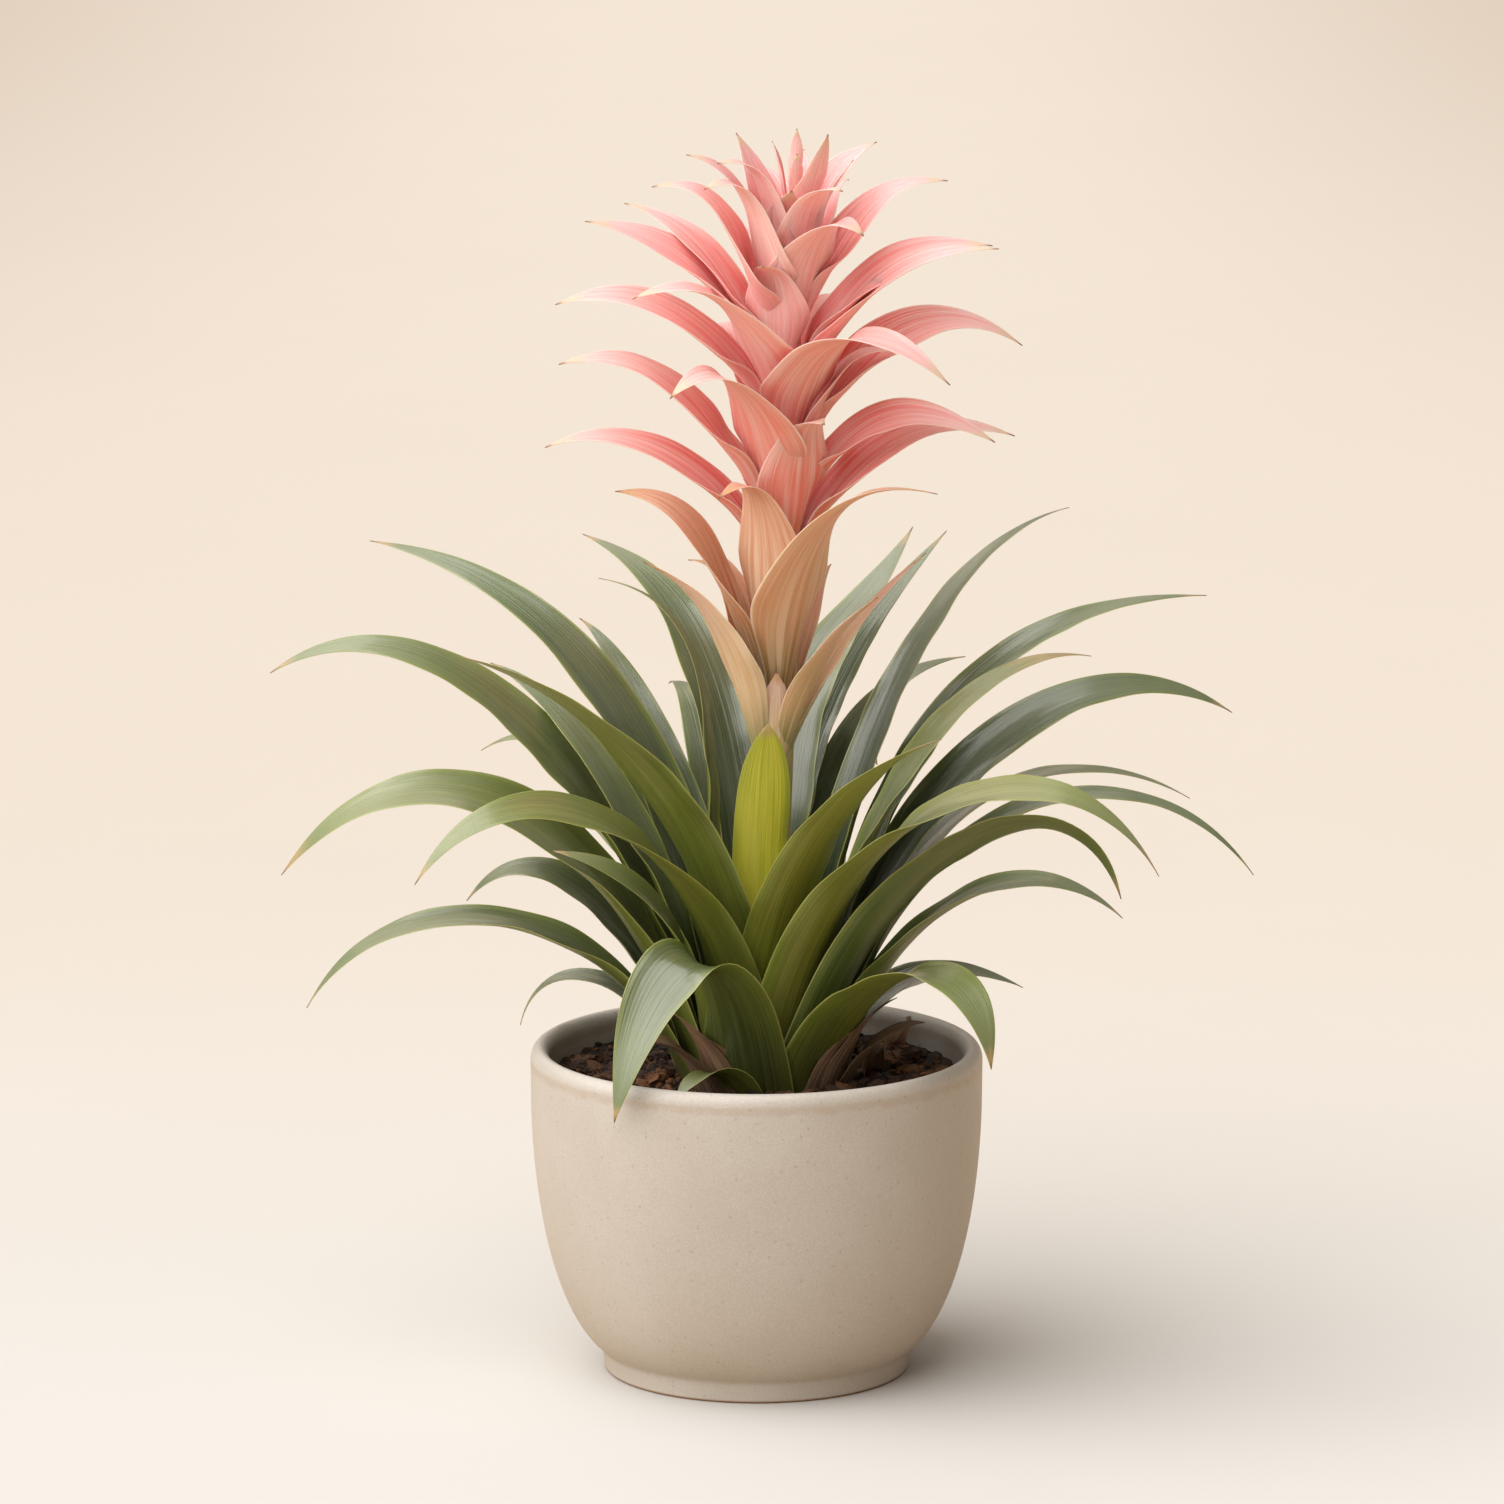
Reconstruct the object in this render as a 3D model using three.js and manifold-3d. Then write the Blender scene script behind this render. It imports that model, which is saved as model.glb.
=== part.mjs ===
// Potted guzmania: a bromeliad with a rosette of strap leaves and a leaning spike of coral bracts,
// growing in bark mix in a round stoneware pot. Millimetres, +Z up. The origin is the middle of
// the pot's underside and +X is the side that the flower leans to.

import * as THREE from 'three';
import { mergeVertices } from 'three/addons/utils/BufferGeometryUtils.js';
import Module from 'manifold-3d';

const wasm = await Module();
wasm.setup();

// Fit between pieces that touch
const fitGap = 0.3;

// Pot: a low foot ring, a bellied wall drawn by two control points, and a rounded lip
const potHeight = 124;
const potRadius = 85;
const potWall = 7;
const potFloor = 10;
const potFloorRadius = 50;
const potFootRadius = 57.5;
const potFootHeight = 8;
const potFootEdge = 1;
const potLowerPull = { radius: 74, height: 20 };
const potUpperPull = { radius: 83.5, height: 55 };
const potStraightFrom = 100;
const lipDepth = 5;
const lipShoulder = { inset: 1.2, drop: 1.6 };
const potSides = 36;

// Potting mix, with a plain hole that the plant stands in
const soilLevel = 112;
const soilRelief = 1.6;
const soilRingInsets = [9, 19, 30];
const soilSides = 36;
const plantHoleRadius = 38.5;
const plantHoleFloor = 90;

// Plant axis: the rosette stands upright, the flower stem leans towards +X
const plantX = 2;
const leanStart = 115;
const leanSlope = 0.036;

// Flower stem and the short thick rootstock that the leaves stand on
const stemRadius = 7.5;
const stemTipRadius = 3;
const stemTaperStart = 290;
const stemTaperEnd = 440;
const headStart = 290;
const headCoreTop = 450;
const rootCrownRadius = 26;
const rootShoulder = 1.5;
const stemSides = 14;

// Leaves: each sheath wraps the stem one layer outside the last, with its foot a little lower
const innerSheathRadius = 9;
const outerSheathRadius = 33;
const innerFootHeight = 122;
const footSpacing = 0.5;
const leafThickness = 0.7;
const innerFootSlope = 85;
const outerFootSlope = 70;
const seatGap = 0.5;

// Leaf outline: a broad clasping sheath, a slightly narrower neck, and a long taper to the tip.
// Its gutter is deep where it leaves the sheath and opens out towards the tip.
const sheathLength = 50;
const sheathFlare = { share: 0.25, length: 30 };
const widestWrap = 0.95;
const leafNeck = { share: 0.86, until: 0.35 };
const leafGutter = { foot: 58, tip: 16 };
const tipHalfWidth = 0.5;

// Bend of every leaf and bract: it swings a little past its tip's heading, and its roll sets in
// after the first stretch
const swingPast = 0.8;
const rollFrom = 0.15;
const rollOver = 0.5;

// Rosette leaves, innermost first. Columns: heading of the foot and of the tip in degrees, the
// tip's reach from the axis and its height, its slope in degrees, how far the leaf climbs and how
// far it falls as parts of the straight way from foot to tip, its width, how long it stays wide
// before it tapers (higher is blunter), and its roll in degrees.
const leafTable = [
  [259, 276, 22, 251, 82, 0.4, 0.3, 22, 11, 0],
  [107, 122, 130, 300, 8, 0.62, 0.3, 23, 4, -10],
  [234, 206, 123, 282, 15, 0.35, 0.35, 32, 3.2, 20],
  [80, 62, 124, 303, 45, 0.76, 0.34, 30, 3, 5],
  [274, 312, 98, 255, 20, 0.28, 0.35, 30, 2.6, -10],
  [86, 60, 143, 299, 36, 0.52, 0.31, 22, 2.6, 20],
  [164, 160, 65, 298, 5, 0.53, 0.35, 12, 2.6, 0],
  [22, 35, 143, 315, 2, 0.47, 0.33, 26, 3, -10],
  [152, 151, 171, 302, 3, 0.5, 0.37, 31, 2, -25],
  [248, 218, 160, 206, -58, 0.55, 0.42, 27, 2.6, -30],
  [127, 134, 100, 274, 20, 0.33, 0.2, 24, 2.6, -35],
  [-28, 11, 126, 268, -14, 0.55, 0.36, 27, 2.2, 6],
  [195, 160, 109, 263, 5, 0.54, 0.25, 22, 2.6, -20],
  [17, 21, 181, 284, -5, 0.55, 0.38, 21, 2.6, 20],
  [82, 88, 110, 255, 0, 0.45, 0.35, 20, 2.6, 0],
  [12, 18, 188, 240, -34, 0.5, 0.38, 26, 2.6, 40],
  [174, 175, 185, 263, -35, 0.48, 0.35, 28, 2.6, -35],
  [290, 330, 167, 206, -62, 0.66, 0.42, 33, 2.6, 15],
  [22, 16, 169, 209, -32, 0.56, 0.38, 20, 2.6, 8],
  [230, 203, 84, 205, 8, 0.5, 0.35, 22, 2.6, -30],
  [128, 145, 131, 222, -35, 0.45, 0.35, 25, 2.6, -20],
  [8, 3, 185, 187, -55, 0.66, 0.4, 17, 2.6, 20],
  [186, 180, 180, 189, -54, 0.64, 0.48, 36, 2.6, -30],
  [310, 340, 141, 190, -75, 0.66, 0.46, 30, 2.6, -30],
  [70, 45, 110, 258, 0, 0.45, 0.35, 22, 2.6, 20],
  [166, 170, 113, 175, -55, 0.62, 0.4, 24, 2.6, -30],
  [343, 351, 136, 177, -45, 0.64, 0.35, 33, 2.6, 5],
  [104, 104, 150, 235, -20, 0.45, 0.35, 25, 2.6, 0],
  [194, 180, 171, 138, -62, 0.53, 0.45, 23, 2.6, -20],
  [122, 122, 150, 175, -50, 0.45, 0.35, 24, 2.6, 0],
  [311, 312, 125, 136, -85, 0.64, 0.54, 36, 2.6, 5],
  [70, 74, 165, 200, -40, 0.45, 0.35, 24, 2.6, 0],
  [152, 158, 99, 123, -78, 0.62, 0.5, 14, 2.6, -20],
  [259, 236, 97, 113, -78, 1.45, 0.95, 34, 2.6, -20],
  [35, 28, 113, 134, -30, 0.58, 0.35, 18, 2.6, 20],
  [84, 84, 135, 135, -60, 0.45, 0.35, 20, 2.6, 0],
  [258, 238, 60, 114, -60, 0.7, 0.5, 16, 2.6, 5],
];

// Bracts: like short leaves that clasp the stem, with the foot sunk in it
const bractThickness = 0.8;
const bractSink = 1.5;
const headSheathLength = 36;
const stemSheathLength = 50;
const bractTaper = 1.8;
const bractGutter = { foot: 40, tip: 40 };

// Coral bracts of the flower head, from the top down. Columns: heading of the foot and of the tip,
// height and slope of the foot, then the tip's reach, height and slope, the climb, the fall, the
// width and the roll, as for the leaves.
const headBracts = [
  [270, 270, 440, 82, 1, 470, 85, 0.4, 0.3, 15, 0],
  [170, 170, 438, 70, 9, 465, 65, 0.4, 0.3, 12, 0],
  [275, 272, 434, 78, 11, 462, 75, 0.45, 0.3, 17, 0],
  [320, 320, 420, 74, 15, 469, 72, 0.4, 0.35, 30, 0],
  [160, 153, 410, 70, 25, 467, 55, 0.5, 0.4, 28, -10],
  [28, 28, 422, 66, 34, 463, 15, 0.5, 0.35, 22, 15],
  [190, 190, 402, 66, 41, 461, 8, 0.48, 0.35, 30, -15],
  [215, 212, 402, 74, 34, 459, -10, 0.55, 0.4, 32, -10],
  [294, 303, 400, 76, 32, 450, -10, 0.6, 0.35, 32, 5],
  [236, 266, 400, 82, 16, 449, 40, 0.5, 0.3, 38, 0],
  [345, 345, 410, 70, 22, 459, 50, 0.5, 0.35, 24, 10],
  [206, 187, 384, 64, 53, 449, -15, 0.52, 0.38, 34, -20],
  [226, 222, 390, 66, 45, 451, -20, 0.58, 0.4, 34, -15],
  [12, 12, 392, 64, 58, 449, -8, 0.5, 0.38, 28, 25],
  [246, 250, 394, 84, 15, 429, 60, 0.45, 0.38, 26, 0],
  [300, 310, 388, 78, 40, 434, -35, 0.65, 0.38, 42, 5],
  [175, 165, 378, 60, 65, 440, 8, 0.44, 0.38, 28, -15],
  [183, 183, 376, 58, 77, 436, 5, 0.42, 0.38, 32, -25],
  [240, 246, 374, 66, 27, 422, 8, 0.58, 0.4, 42, 0],
  [8, 8, 374, 62, 75, 425, -10, 0.5, 0.38, 30, 25],
  [350, 350, 368, 62, 77, 427, -2, 0.46, 0.38, 30, 15],
  [232, 214, 360, 68, 70, 412, -22, 0.52, 0.4, 44, -10],
  [14, 14, 342, 66, 90, 386, -38, 0.55, 0.42, 34, 30],
  [178, 178, 358, 60, 87, 404, -22, 0.48, 0.36, 32, -25],
  [292, 319, 344, 78, 78, 382, -42, 0.76, 0.42, 40, 5],
  [350, 350, 338, 68, 42, 388, -10, 0.55, 0.4, 28, 10],
  [242, 226, 322, 78, 62, 376, -42, 0.62, 0.42, 42, -10],
  [184, 184, 326, 58, 85, 383, -18, 0.5, 0.36, 32, -25],
  [10, -5, 322, 66, 78, 354, -30, 0.6, 0.42, 32, 25],
  [294, 296, 312, 66, 32, 364, -10, 0.6, 0.4, 42, 5],
  [168, 180, 308, 60, 89, 351, -24, 0.42, 0.36, 28, -25],
  [12, 10, 308, 62, 87, 353, -22, 0.5, 0.38, 34, 20],
  [80, 80, 434, 70, 18, 460, 40, 0.45, 0.35, 20, 0],
  [112, 112, 418, 68, 36, 452, 0, 0.5, 0.35, 24, 0],
  [62, 62, 406, 66, 44, 446, -10, 0.52, 0.36, 26, 0],
  [118, 118, 392, 64, 54, 428, -12, 0.52, 0.36, 28, 0],
  [88, 88, 378, 62, 64, 416, -28, 0.54, 0.38, 30, 0],
  [66, 66, 362, 62, 58, 398, -30, 0.54, 0.38, 30, 0],
  [112, 112, 346, 60, 76, 384, -32, 0.54, 0.38, 30, 0],
  [82, 82, 332, 60, 68, 376, -32, 0.54, 0.38, 30, 0],
  [98, 98, 310, 60, 76, 346, -32, 0.54, 0.38, 30, 0],
  [70, 70, 296, 62, 58, 334, -20, 0.54, 0.38, 28, 0],
];

// Tan and green bracts of the stem under the head, with the same columns
const stemBracts = [
  [195, 188, 262, 66, 63, 336, 0, 0.52, 0.36, 33, -32],
  [250, 233, 264, 78, 40, 337, -32, 0.62, 0.4, 44, 0],
  [290, 334, 256, 74, 63, 338, -15, 0.64, 0.4, 46, -8],
  [155, 155, 240, 64, 38, 306, -5, 0.5, 0.35, 20, -10],
  [215, 204, 232, 72, 56, 312, 25, 0.45, 0.35, 36, 10],
  [315, 325, 234, 72, 44, 299, 35, 0.4, 0.3, 26, 0],
  [20, 20, 236, 66, 58, 308, 35, 0.4, 0.3, 14, 10],
  [282, 275, 246, 80, 9, 273, 82, 0.4, 0.3, 8, 0],
  [268, 270, 226, 80, 13, 269, 80, 0.42, 0.3, 28, 0],
  [92, 92, 264, 64, 60, 322, -10, 0.5, 0.38, 26, 0],
  [130, 130, 254, 64, 50, 308, 5, 0.5, 0.36, 24, 0],
  [65, 65, 246, 64, 46, 300, 15, 0.5, 0.35, 22, 0],
];

// How finely a blade is divided: strips across it, the length of a step along it, and how much
// closer the steps lie near the tip
const blades = {
  leafAcross: 5,
  leafStep: 25,
  bractAcross: 2,
  bractStep: 24,
  fewestSteps: 4,
  tipCrowding: 1.2,
};

function material(color, roughness) {
  return new THREE.MeshStandardMaterial({ color, roughness, metalness: 0 });
}

const stoneware = material(0xb9ab9a, 0.45);
const barkMix = material(0x3a281b, 0.95);
const leafGreen = material(0x5d6b4c, 0.4);
const stemTan = material(0xb9976a, 0.5);
const bractCoral = material(0xe58a7f, 0.45);

function smooth(x) {
  return THREE.MathUtils.smoothstep(x, 0, 1);
}

// Unit vector with a heading in the ground plane, 0 along +X, and a slope above it
function direction(headingDegrees, slopeDegrees) {
  const heading = THREE.MathUtils.degToRad(headingDegrees);
  const slope = THREE.MathUtils.degToRad(slopeDegrees);
  return new THREE.Vector3(
    Math.cos(slope) * Math.cos(heading),
    Math.cos(slope) * Math.sin(heading),
    Math.sin(slope),
  );
}

function axisAt(height) {
  return new THREE.Vector3(plantX + leanSlope * Math.max(height - leanStart, 0), 0, height);
}

function stemRadiusAt(height) {
  const left = THREE.MathUtils.clamp((stemTaperEnd - height) / (stemTaperEnd - stemTaperStart), 0, 1);
  return stemTipRadius + (stemRadius - stemTipRadius) * left;
}

// A closed geometry with shared corners and no collapsed triangles
function sealed(geometry) {
  geometry.deleteAttribute('normal');
  geometry.deleteAttribute('uv');
  const merged = mergeVertices(geometry, 1e-4);
  const corners = merged.index.array;
  const kept = [];
  for (let i = 0; i < corners.length; i += 3) {
    const [a, b, c] = [corners[i], corners[i + 1], corners[i + 2]];
    if (a !== b && b !== c && c !== a) kept.push(a, b, c);
  }
  merged.setIndex(kept);
  return merged;
}

function solidOf(geometry) {
  return new wasm.Manifold(new wasm.Mesh({
    numProp: 3,
    vertProperties: new Float32Array(geometry.attributes.position.array),
    triVerts: new Uint32Array(geometry.index.array),
  }));
}

function geometryOf(solid) {
  const result = solid.getMesh();
  const geometry = new THREE.BufferGeometry();
  geometry.setAttribute('position', new THREE.BufferAttribute(result.vertProperties, 3));
  geometry.setIndex(Array.from(result.triVerts));
  return geometry;
}

// One solid from all of them. Small hollows that the blades seal between them are filled.
function joined(geometries) {
  const whole = geometries.map(solidOf).reduce((sum, piece) => sum.add(piece));
  const bodies = whole.decompose();
  return bodies.reduce((largest, body) => (body.volume() > largest.volume() ? body : largest));
}

// Ring surface around +Z from an outline of [radius, height] points, outside first from the bottom
function turned(outline, sides) {
  const points = outline.map(([radius, height]) => new THREE.Vector2(radius, height));
  const geometry = new THREE.LatheGeometry(points, sides);
  geometry.rotateX(Math.PI / 2);
  return sealed(geometry);
}

// Points of a smooth curve from start to end, drawn by two pulls between them
function curveOutline(start, pull1, pull2, end, steps) {
  const corners = [start, pull1, pull2, end].map((point) => new THREE.Vector2(...point));
  const curve = new THREE.CubicBezierCurve(...corners);
  return curve.getPoints(steps).map((point) => [point.x, point.y]);
}

// Midrib of a leaf or bract: it leaves its foot steeply, arches over and ends at its tip
function midribOf(row, foot, tip) {
  const span = foot.distanceTo(tip);
  const tipHeading = row.tipAt + swingPast * (row.tipAt - row.at);
  const climb = foot.clone().addScaledVector(direction(row.at, row.footSlope), row.climb * span);
  const fall = tip.clone().addScaledVector(direction(tipHeading, row.dip), -row.fall * span);
  const curve = new THREE.CubicBezierCurve3(foot, climb, fall, tip);
  curve.arcLengthDivisions = 400;
  return { curve, tipHeading };
}

// Closed thin strip along a midrib. Every cross-section is an arc: wrapped round the stem at the
// foot, an open gutter further out. Both faces are split into triangles alike.
function bladeOf(row, foot, tip, shape) {
  const { curve, tipHeading } = midribOf(row, foot, tip);
  const length = curve.getLength();
  const steps = Math.max(Math.round(length / shape.step), blades.fewestSteps);
  const faces = [[], []];
  for (let i = 0; i <= steps; i++) {
    const t = 1 - (1 - i / steps) ** blades.tipCrowding;
    const along = t * length;
    const point = curve.getPointAt(t);
    const forward = curve.getTangentAt(t);
    const heading = THREE.MathUtils.lerp(row.at, tipHeading, t);
    const across = direction(heading + 90, 0);
    across.addScaledVector(forward, -across.dot(forward)).normalize();
    const inward = new THREE.Vector3().crossVectors(forward, across);
    const roll = THREE.MathUtils.degToRad(row.roll) * smooth((t - rollFrom) / rollOver);
    const side = across.clone().multiplyScalar(Math.cos(roll)).addScaledVector(inward, Math.sin(roll));
    const up = new THREE.Vector3().crossVectors(forward, side);
    const halfWidth = shape.halfWidth(row, t, along);
    const openness = THREE.MathUtils.lerp(shape.gutter.foot, shape.gutter.tip, smooth(t));
    const gutter = THREE.MathUtils.degToRad(openness) / (row.width / 2);
    const curl = THREE.MathUtils.lerp(1 / shape.footRadius, gutter, smooth(along / shape.sheath));
    for (let j = 0; j <= shape.across; j++) {
      const angle = curl * halfWidth * (2 * j / shape.across - 1);
      const middle = point.clone()
        .addScaledVector(side, Math.sin(angle) / curl)
        .addScaledVector(up, (1 - Math.cos(angle)) / curl);
      const normal = up.clone().multiplyScalar(Math.cos(angle)).addScaledVector(side, -Math.sin(angle));
      faces[0].push(middle.clone().addScaledVector(normal, shape.thickness / 2));
      faces[1].push(middle.clone().addScaledVector(normal, -shape.thickness / 2));
    }
  }
  const perFace = faces[0].length;
  const perRow = shape.across + 1;
  const corner = (face, i, j) => face * perFace + i * perRow + j;
  const index = [];
  const quad = (a, b, c, d) => index.push(a, b, c, a, c, d);
  for (let i = 0; i < steps; i++) {
    for (let j = 0; j < shape.across; j++) {
      index.push(corner(0, i, j), corner(0, i + 1, j + 1), corner(0, i, j + 1));
      index.push(corner(0, i, j), corner(0, i + 1, j), corner(0, i + 1, j + 1));
      index.push(corner(1, i, j), corner(1, i, j + 1), corner(1, i + 1, j + 1));
      index.push(corner(1, i, j), corner(1, i + 1, j + 1), corner(1, i + 1, j));
    }
    const last = shape.across;
    quad(corner(0, i, 0), corner(1, i, 0), corner(1, i + 1, 0), corner(0, i + 1, 0));
    quad(corner(0, i + 1, last), corner(1, i + 1, last), corner(1, i, last), corner(0, i, last));
  }
  for (let j = 0; j < shape.across; j++) {
    quad(corner(0, 0, j), corner(0, 0, j + 1), corner(1, 0, j + 1), corner(1, 0, j));
    quad(corner(1, steps, j), corner(1, steps, j + 1), corner(0, steps, j + 1), corner(0, steps, j));
  }
  const geometry = new THREE.BufferGeometry();
  geometry.setAttribute('position', new THREE.Float32BufferAttribute(
    faces.flat().flatMap((p) => [p.x, p.y, p.z]), 3));
  geometry.setIndex(index);
  return geometry;
}

// Inside of the pot from the floor up to the straight part of the wall, moved in by an inset
function boreOutline(inset) {
  const straightRadius = potRadius - potWall;
  return curveOutline(
    [potFloorRadius - inset, potFloor + inset],
    [potLowerPull.radius - potWall - inset, potLowerPull.height + inset],
    [potUpperPull.radius - potWall - inset, potUpperPull.height],
    [straightRadius - inset, potStraightFrom],
    3,
  );
}

function potGeometry() {
  const inner = potRadius - potWall;
  const footTop = potFootRadius + potFootEdge;
  const outline = [
    [0, 0],
    [potFootRadius - potFootEdge, 0],
    [potFootRadius, potFootEdge],
    [footTop, potFootHeight],
    ...curveOutline(
      [footTop + 0.2, potFootHeight + 0.2],
      [potLowerPull.radius, potLowerPull.height],
      [potUpperPull.radius, potUpperPull.height],
      [potRadius - 0.2, potStraightFrom],
      5,
    ),
    [potRadius, potHeight - lipDepth],
    [potRadius - lipShoulder.inset, potHeight - lipShoulder.drop],
    [potRadius - potWall / 2, potHeight],
    [inner + lipShoulder.inset, potHeight - lipShoulder.drop],
    [inner, potHeight - lipDepth],
    ...boreOutline(0).reverse(),
    [0, potFloor],
  ];
  return turned(outline, potSides);
}

// Small uneven rise and fall of the mix, the same each time
function soilRise(ring, side) {
  return soilRelief * Math.sin(2.4 * side + 1.9 * ring);
}

function soilGeometry() {
  const edge = potRadius - potWall - fitGap;
  const rings = soilRingInsets.map((inset) => edge - inset);
  const outline = [
    [0, potFloor + fitGap],
    ...boreOutline(fitGap),
    [edge, soilLevel],
    ...rings.map((radius) => [radius, soilLevel]),
    [plantHoleRadius, soilLevel],
    [plantHoleRadius, plantHoleFloor],
    [0, plantHoleFloor],
  ];
  const geometry = turned(outline, soilSides);
  const position = geometry.attributes.position;
  for (let i = 0; i < position.count; i++) {
    const radius = Math.hypot(position.getX(i), position.getY(i));
    const turn = Math.atan2(position.getY(i), position.getX(i)) / (2 * Math.PI);
    const ring = rings.findIndex((ringRadius) => Math.abs(ringRadius - radius) < fitGap);
    const onTop = Math.abs(position.getZ(i) - soilLevel) < fitGap;
    if (onTop && ring >= 0) position.setZ(i, soilLevel + soilRise(ring, Math.round(turn * soilSides)));
  }
  return geometry;
}

// Shift each level of an upright turned piece onto the leaning axis
function leaned(geometry) {
  const position = geometry.attributes.position;
  for (let i = 0; i < position.count; i++) {
    position.setX(i, position.getX(i) + axisAt(position.getZ(i)).x);
  }
  return geometry;
}

// The leaves' feet stand on the cone of the rootstock, just above the mix
function rootstockAndStem() {
  const outermost = leafTable.length - 1;
  const seats = [outermost, outermost * 2 / 3, outermost / 3, 0].map(
    (order) => [sheathRadius(order), footHeightOf(order) - seatGap],
  );
  const outline = [
    [0, plantHoleFloor + fitGap],
    [rootCrownRadius, plantHoleFloor + fitGap],
    [outerSheathRadius + rootShoulder, seats[0][1] - rootShoulder],
    ...seats,
    [stemRadius, innerFootHeight],
    [stemRadiusAt(headStart), headStart],
    [0, headStart],
  ];
  return leaned(turned(outline, stemSides));
}

function headCore() {
  const outline = [
    [0, headStart + fitGap],
    [stemRadiusAt(headStart), headStart + fitGap],
    [stemTipRadius, stemTaperEnd],
    [0, headCoreTop],
  ];
  return leaned(turned(outline, stemSides));
}

// The sheaths fill the ring round the stem evenly, so they lie closer together further out
function sheathRadius(order) {
  const share = order / (leafTable.length - 1);
  return Math.sqrt(innerSheathRadius ** 2 + share * (outerSheathRadius ** 2 - innerSheathRadius ** 2));
}

function footHeightOf(order) {
  return innerFootHeight - footSpacing * order;
}

// Half the width of a blade that would be free, held in where it wraps round the stem
function clasped(free, footRadius, along, sheath) {
  const wrap = THREE.MathUtils.lerp(widestWrap * footRadius, free, smooth(along / sheath));
  return Math.max(Math.min(free, wrap), tipHalfWidth);
}

function leafHalfWidth(row, t, along) {
  const neck = THREE.MathUtils.lerp(leafNeck.share, 1, smooth(t / leafNeck.until));
  const flare = sheathFlare.share * Math.exp(-((along / sheathFlare.length) ** 2));
  const free = row.width / 2 * ((1 - t ** row.taper) * neck + flare);
  return clasped(free, row.footRadius, along, sheathLength);
}

function leafGeometry(columns, order) {
  const [at, tipAt, reach, height, dip, climb, fall, width, taper, roll] = columns;
  const footRadius = sheathRadius(order);
  const share = order / (leafTable.length - 1);
  const footSlope = THREE.MathUtils.lerp(innerFootSlope, outerFootSlope, share);
  const row = { at, tipAt, dip, climb, fall, width, taper, roll, footRadius, footSlope };
  const foot = axisAt(0).addScaledVector(direction(at, 0), footRadius).setZ(footHeightOf(order));
  const tip = axisAt(0).addScaledVector(direction(tipAt, 0), reach).setZ(height);
  return bladeOf(row, foot, tip, {
    step: blades.leafStep,
    across: blades.leafAcross,
    gutter: leafGutter,
    sheath: sheathLength,
    thickness: leafThickness,
    halfWidth: leafHalfWidth,
    footRadius,
  });
}

function bractHalfWidth(row, t, along) {
  return clasped(row.width / 2 * (1 - t ** bractTaper), row.footRadius, along, row.sheath);
}

function bractGeometry(columns, sheath) {
  const [at, tipAt, footHeight, footSlope, reach, height, dip, climb, fall, width, roll] = columns;
  const footRadius = stemRadiusAt(footHeight) - bractSink;
  const row = { at, tipAt, dip, climb, fall, width, roll, footSlope, footRadius, sheath };
  const foot = axisAt(footHeight).addScaledVector(direction(at, 0), footRadius);
  const tip = axisAt(height).addScaledVector(direction(tipAt, 0), reach);
  return bladeOf(row, foot, tip, {
    step: blades.bractStep,
    across: blades.bractAcross,
    gutter: bractGutter,
    sheath,
    thickness: bractThickness,
    halfWidth: bractHalfWidth,
    footRadius,
  });
}

const plant = new THREE.Group();

function addPiece(name, geometry, pieceMaterial) {
  const piece = new THREE.Mesh(geometry, pieceMaterial);
  piece.name = name;
  plant.add(piece);
}

addPiece('pot', potGeometry(), stoneware);
addPiece('potting_mix', soilGeometry(), barkMix);

const bractsOf = (table, sheath) => table.map((columns) => bractGeometry(columns, sheath));

const stemSolid = joined([rootstockAndStem(), ...bractsOf(stemBracts, stemSheathLength)]);
addPiece('flower_stem', geometryOf(stemSolid), stemTan);

const headSolid = joined([headCore(), ...bractsOf(headBracts, headSheathLength)]);
addPiece('flower_head', geometryOf(headSolid), bractCoral);

leafTable.forEach((columns, order) => {
  const name = `rosette_leaf_${String(order + 1).padStart(2, '0')}`;
  addPiece(name, leafGeometry(columns, order), leafGreen);
});

export default plant;
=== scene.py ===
import math

import bmesh
import bpy
import numpy as np
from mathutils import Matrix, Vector, noise


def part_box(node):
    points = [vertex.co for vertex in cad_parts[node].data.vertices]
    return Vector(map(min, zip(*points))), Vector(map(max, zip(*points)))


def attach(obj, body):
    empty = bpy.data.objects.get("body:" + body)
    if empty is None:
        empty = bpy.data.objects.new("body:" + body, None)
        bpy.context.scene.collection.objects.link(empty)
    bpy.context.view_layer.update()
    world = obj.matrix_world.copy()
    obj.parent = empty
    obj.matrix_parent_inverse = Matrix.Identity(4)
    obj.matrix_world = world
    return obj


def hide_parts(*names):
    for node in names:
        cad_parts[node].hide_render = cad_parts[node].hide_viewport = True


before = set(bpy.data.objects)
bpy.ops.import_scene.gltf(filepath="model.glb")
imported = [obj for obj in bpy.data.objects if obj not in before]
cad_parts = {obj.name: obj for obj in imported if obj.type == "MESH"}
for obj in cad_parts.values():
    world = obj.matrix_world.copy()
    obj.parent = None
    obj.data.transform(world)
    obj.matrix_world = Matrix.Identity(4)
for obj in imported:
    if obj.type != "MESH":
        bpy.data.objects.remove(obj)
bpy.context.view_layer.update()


# Pot
# One thrown stoneware pot with a low foot, a bellied wall and a rounded lip. Its satin glaze is
# full of fine grains, breaks to tan along the lip's outer edge and stops just above the ground.
pot_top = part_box("pot")[1]
pot_radius = pot_top.x
pot_height = pot_top.z
pot_wall = 0.007
pot_floor = 0.010
pot_floor_radius = 0.050
foot_radius = 0.0575
foot_height = 0.008
foot_edge = 0.001
lower_pull = (0.074, 0.020)
upper_pull = (0.0835, 0.055)
straight_from = 0.100
lip_depth = 0.005
thin_glaze_depths = (0.0035, 0.0055, 0.0065, 0.0085)
thin_glaze_wander = 0.002
bare_clay_heights = (0.0004, 0.0014)


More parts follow.
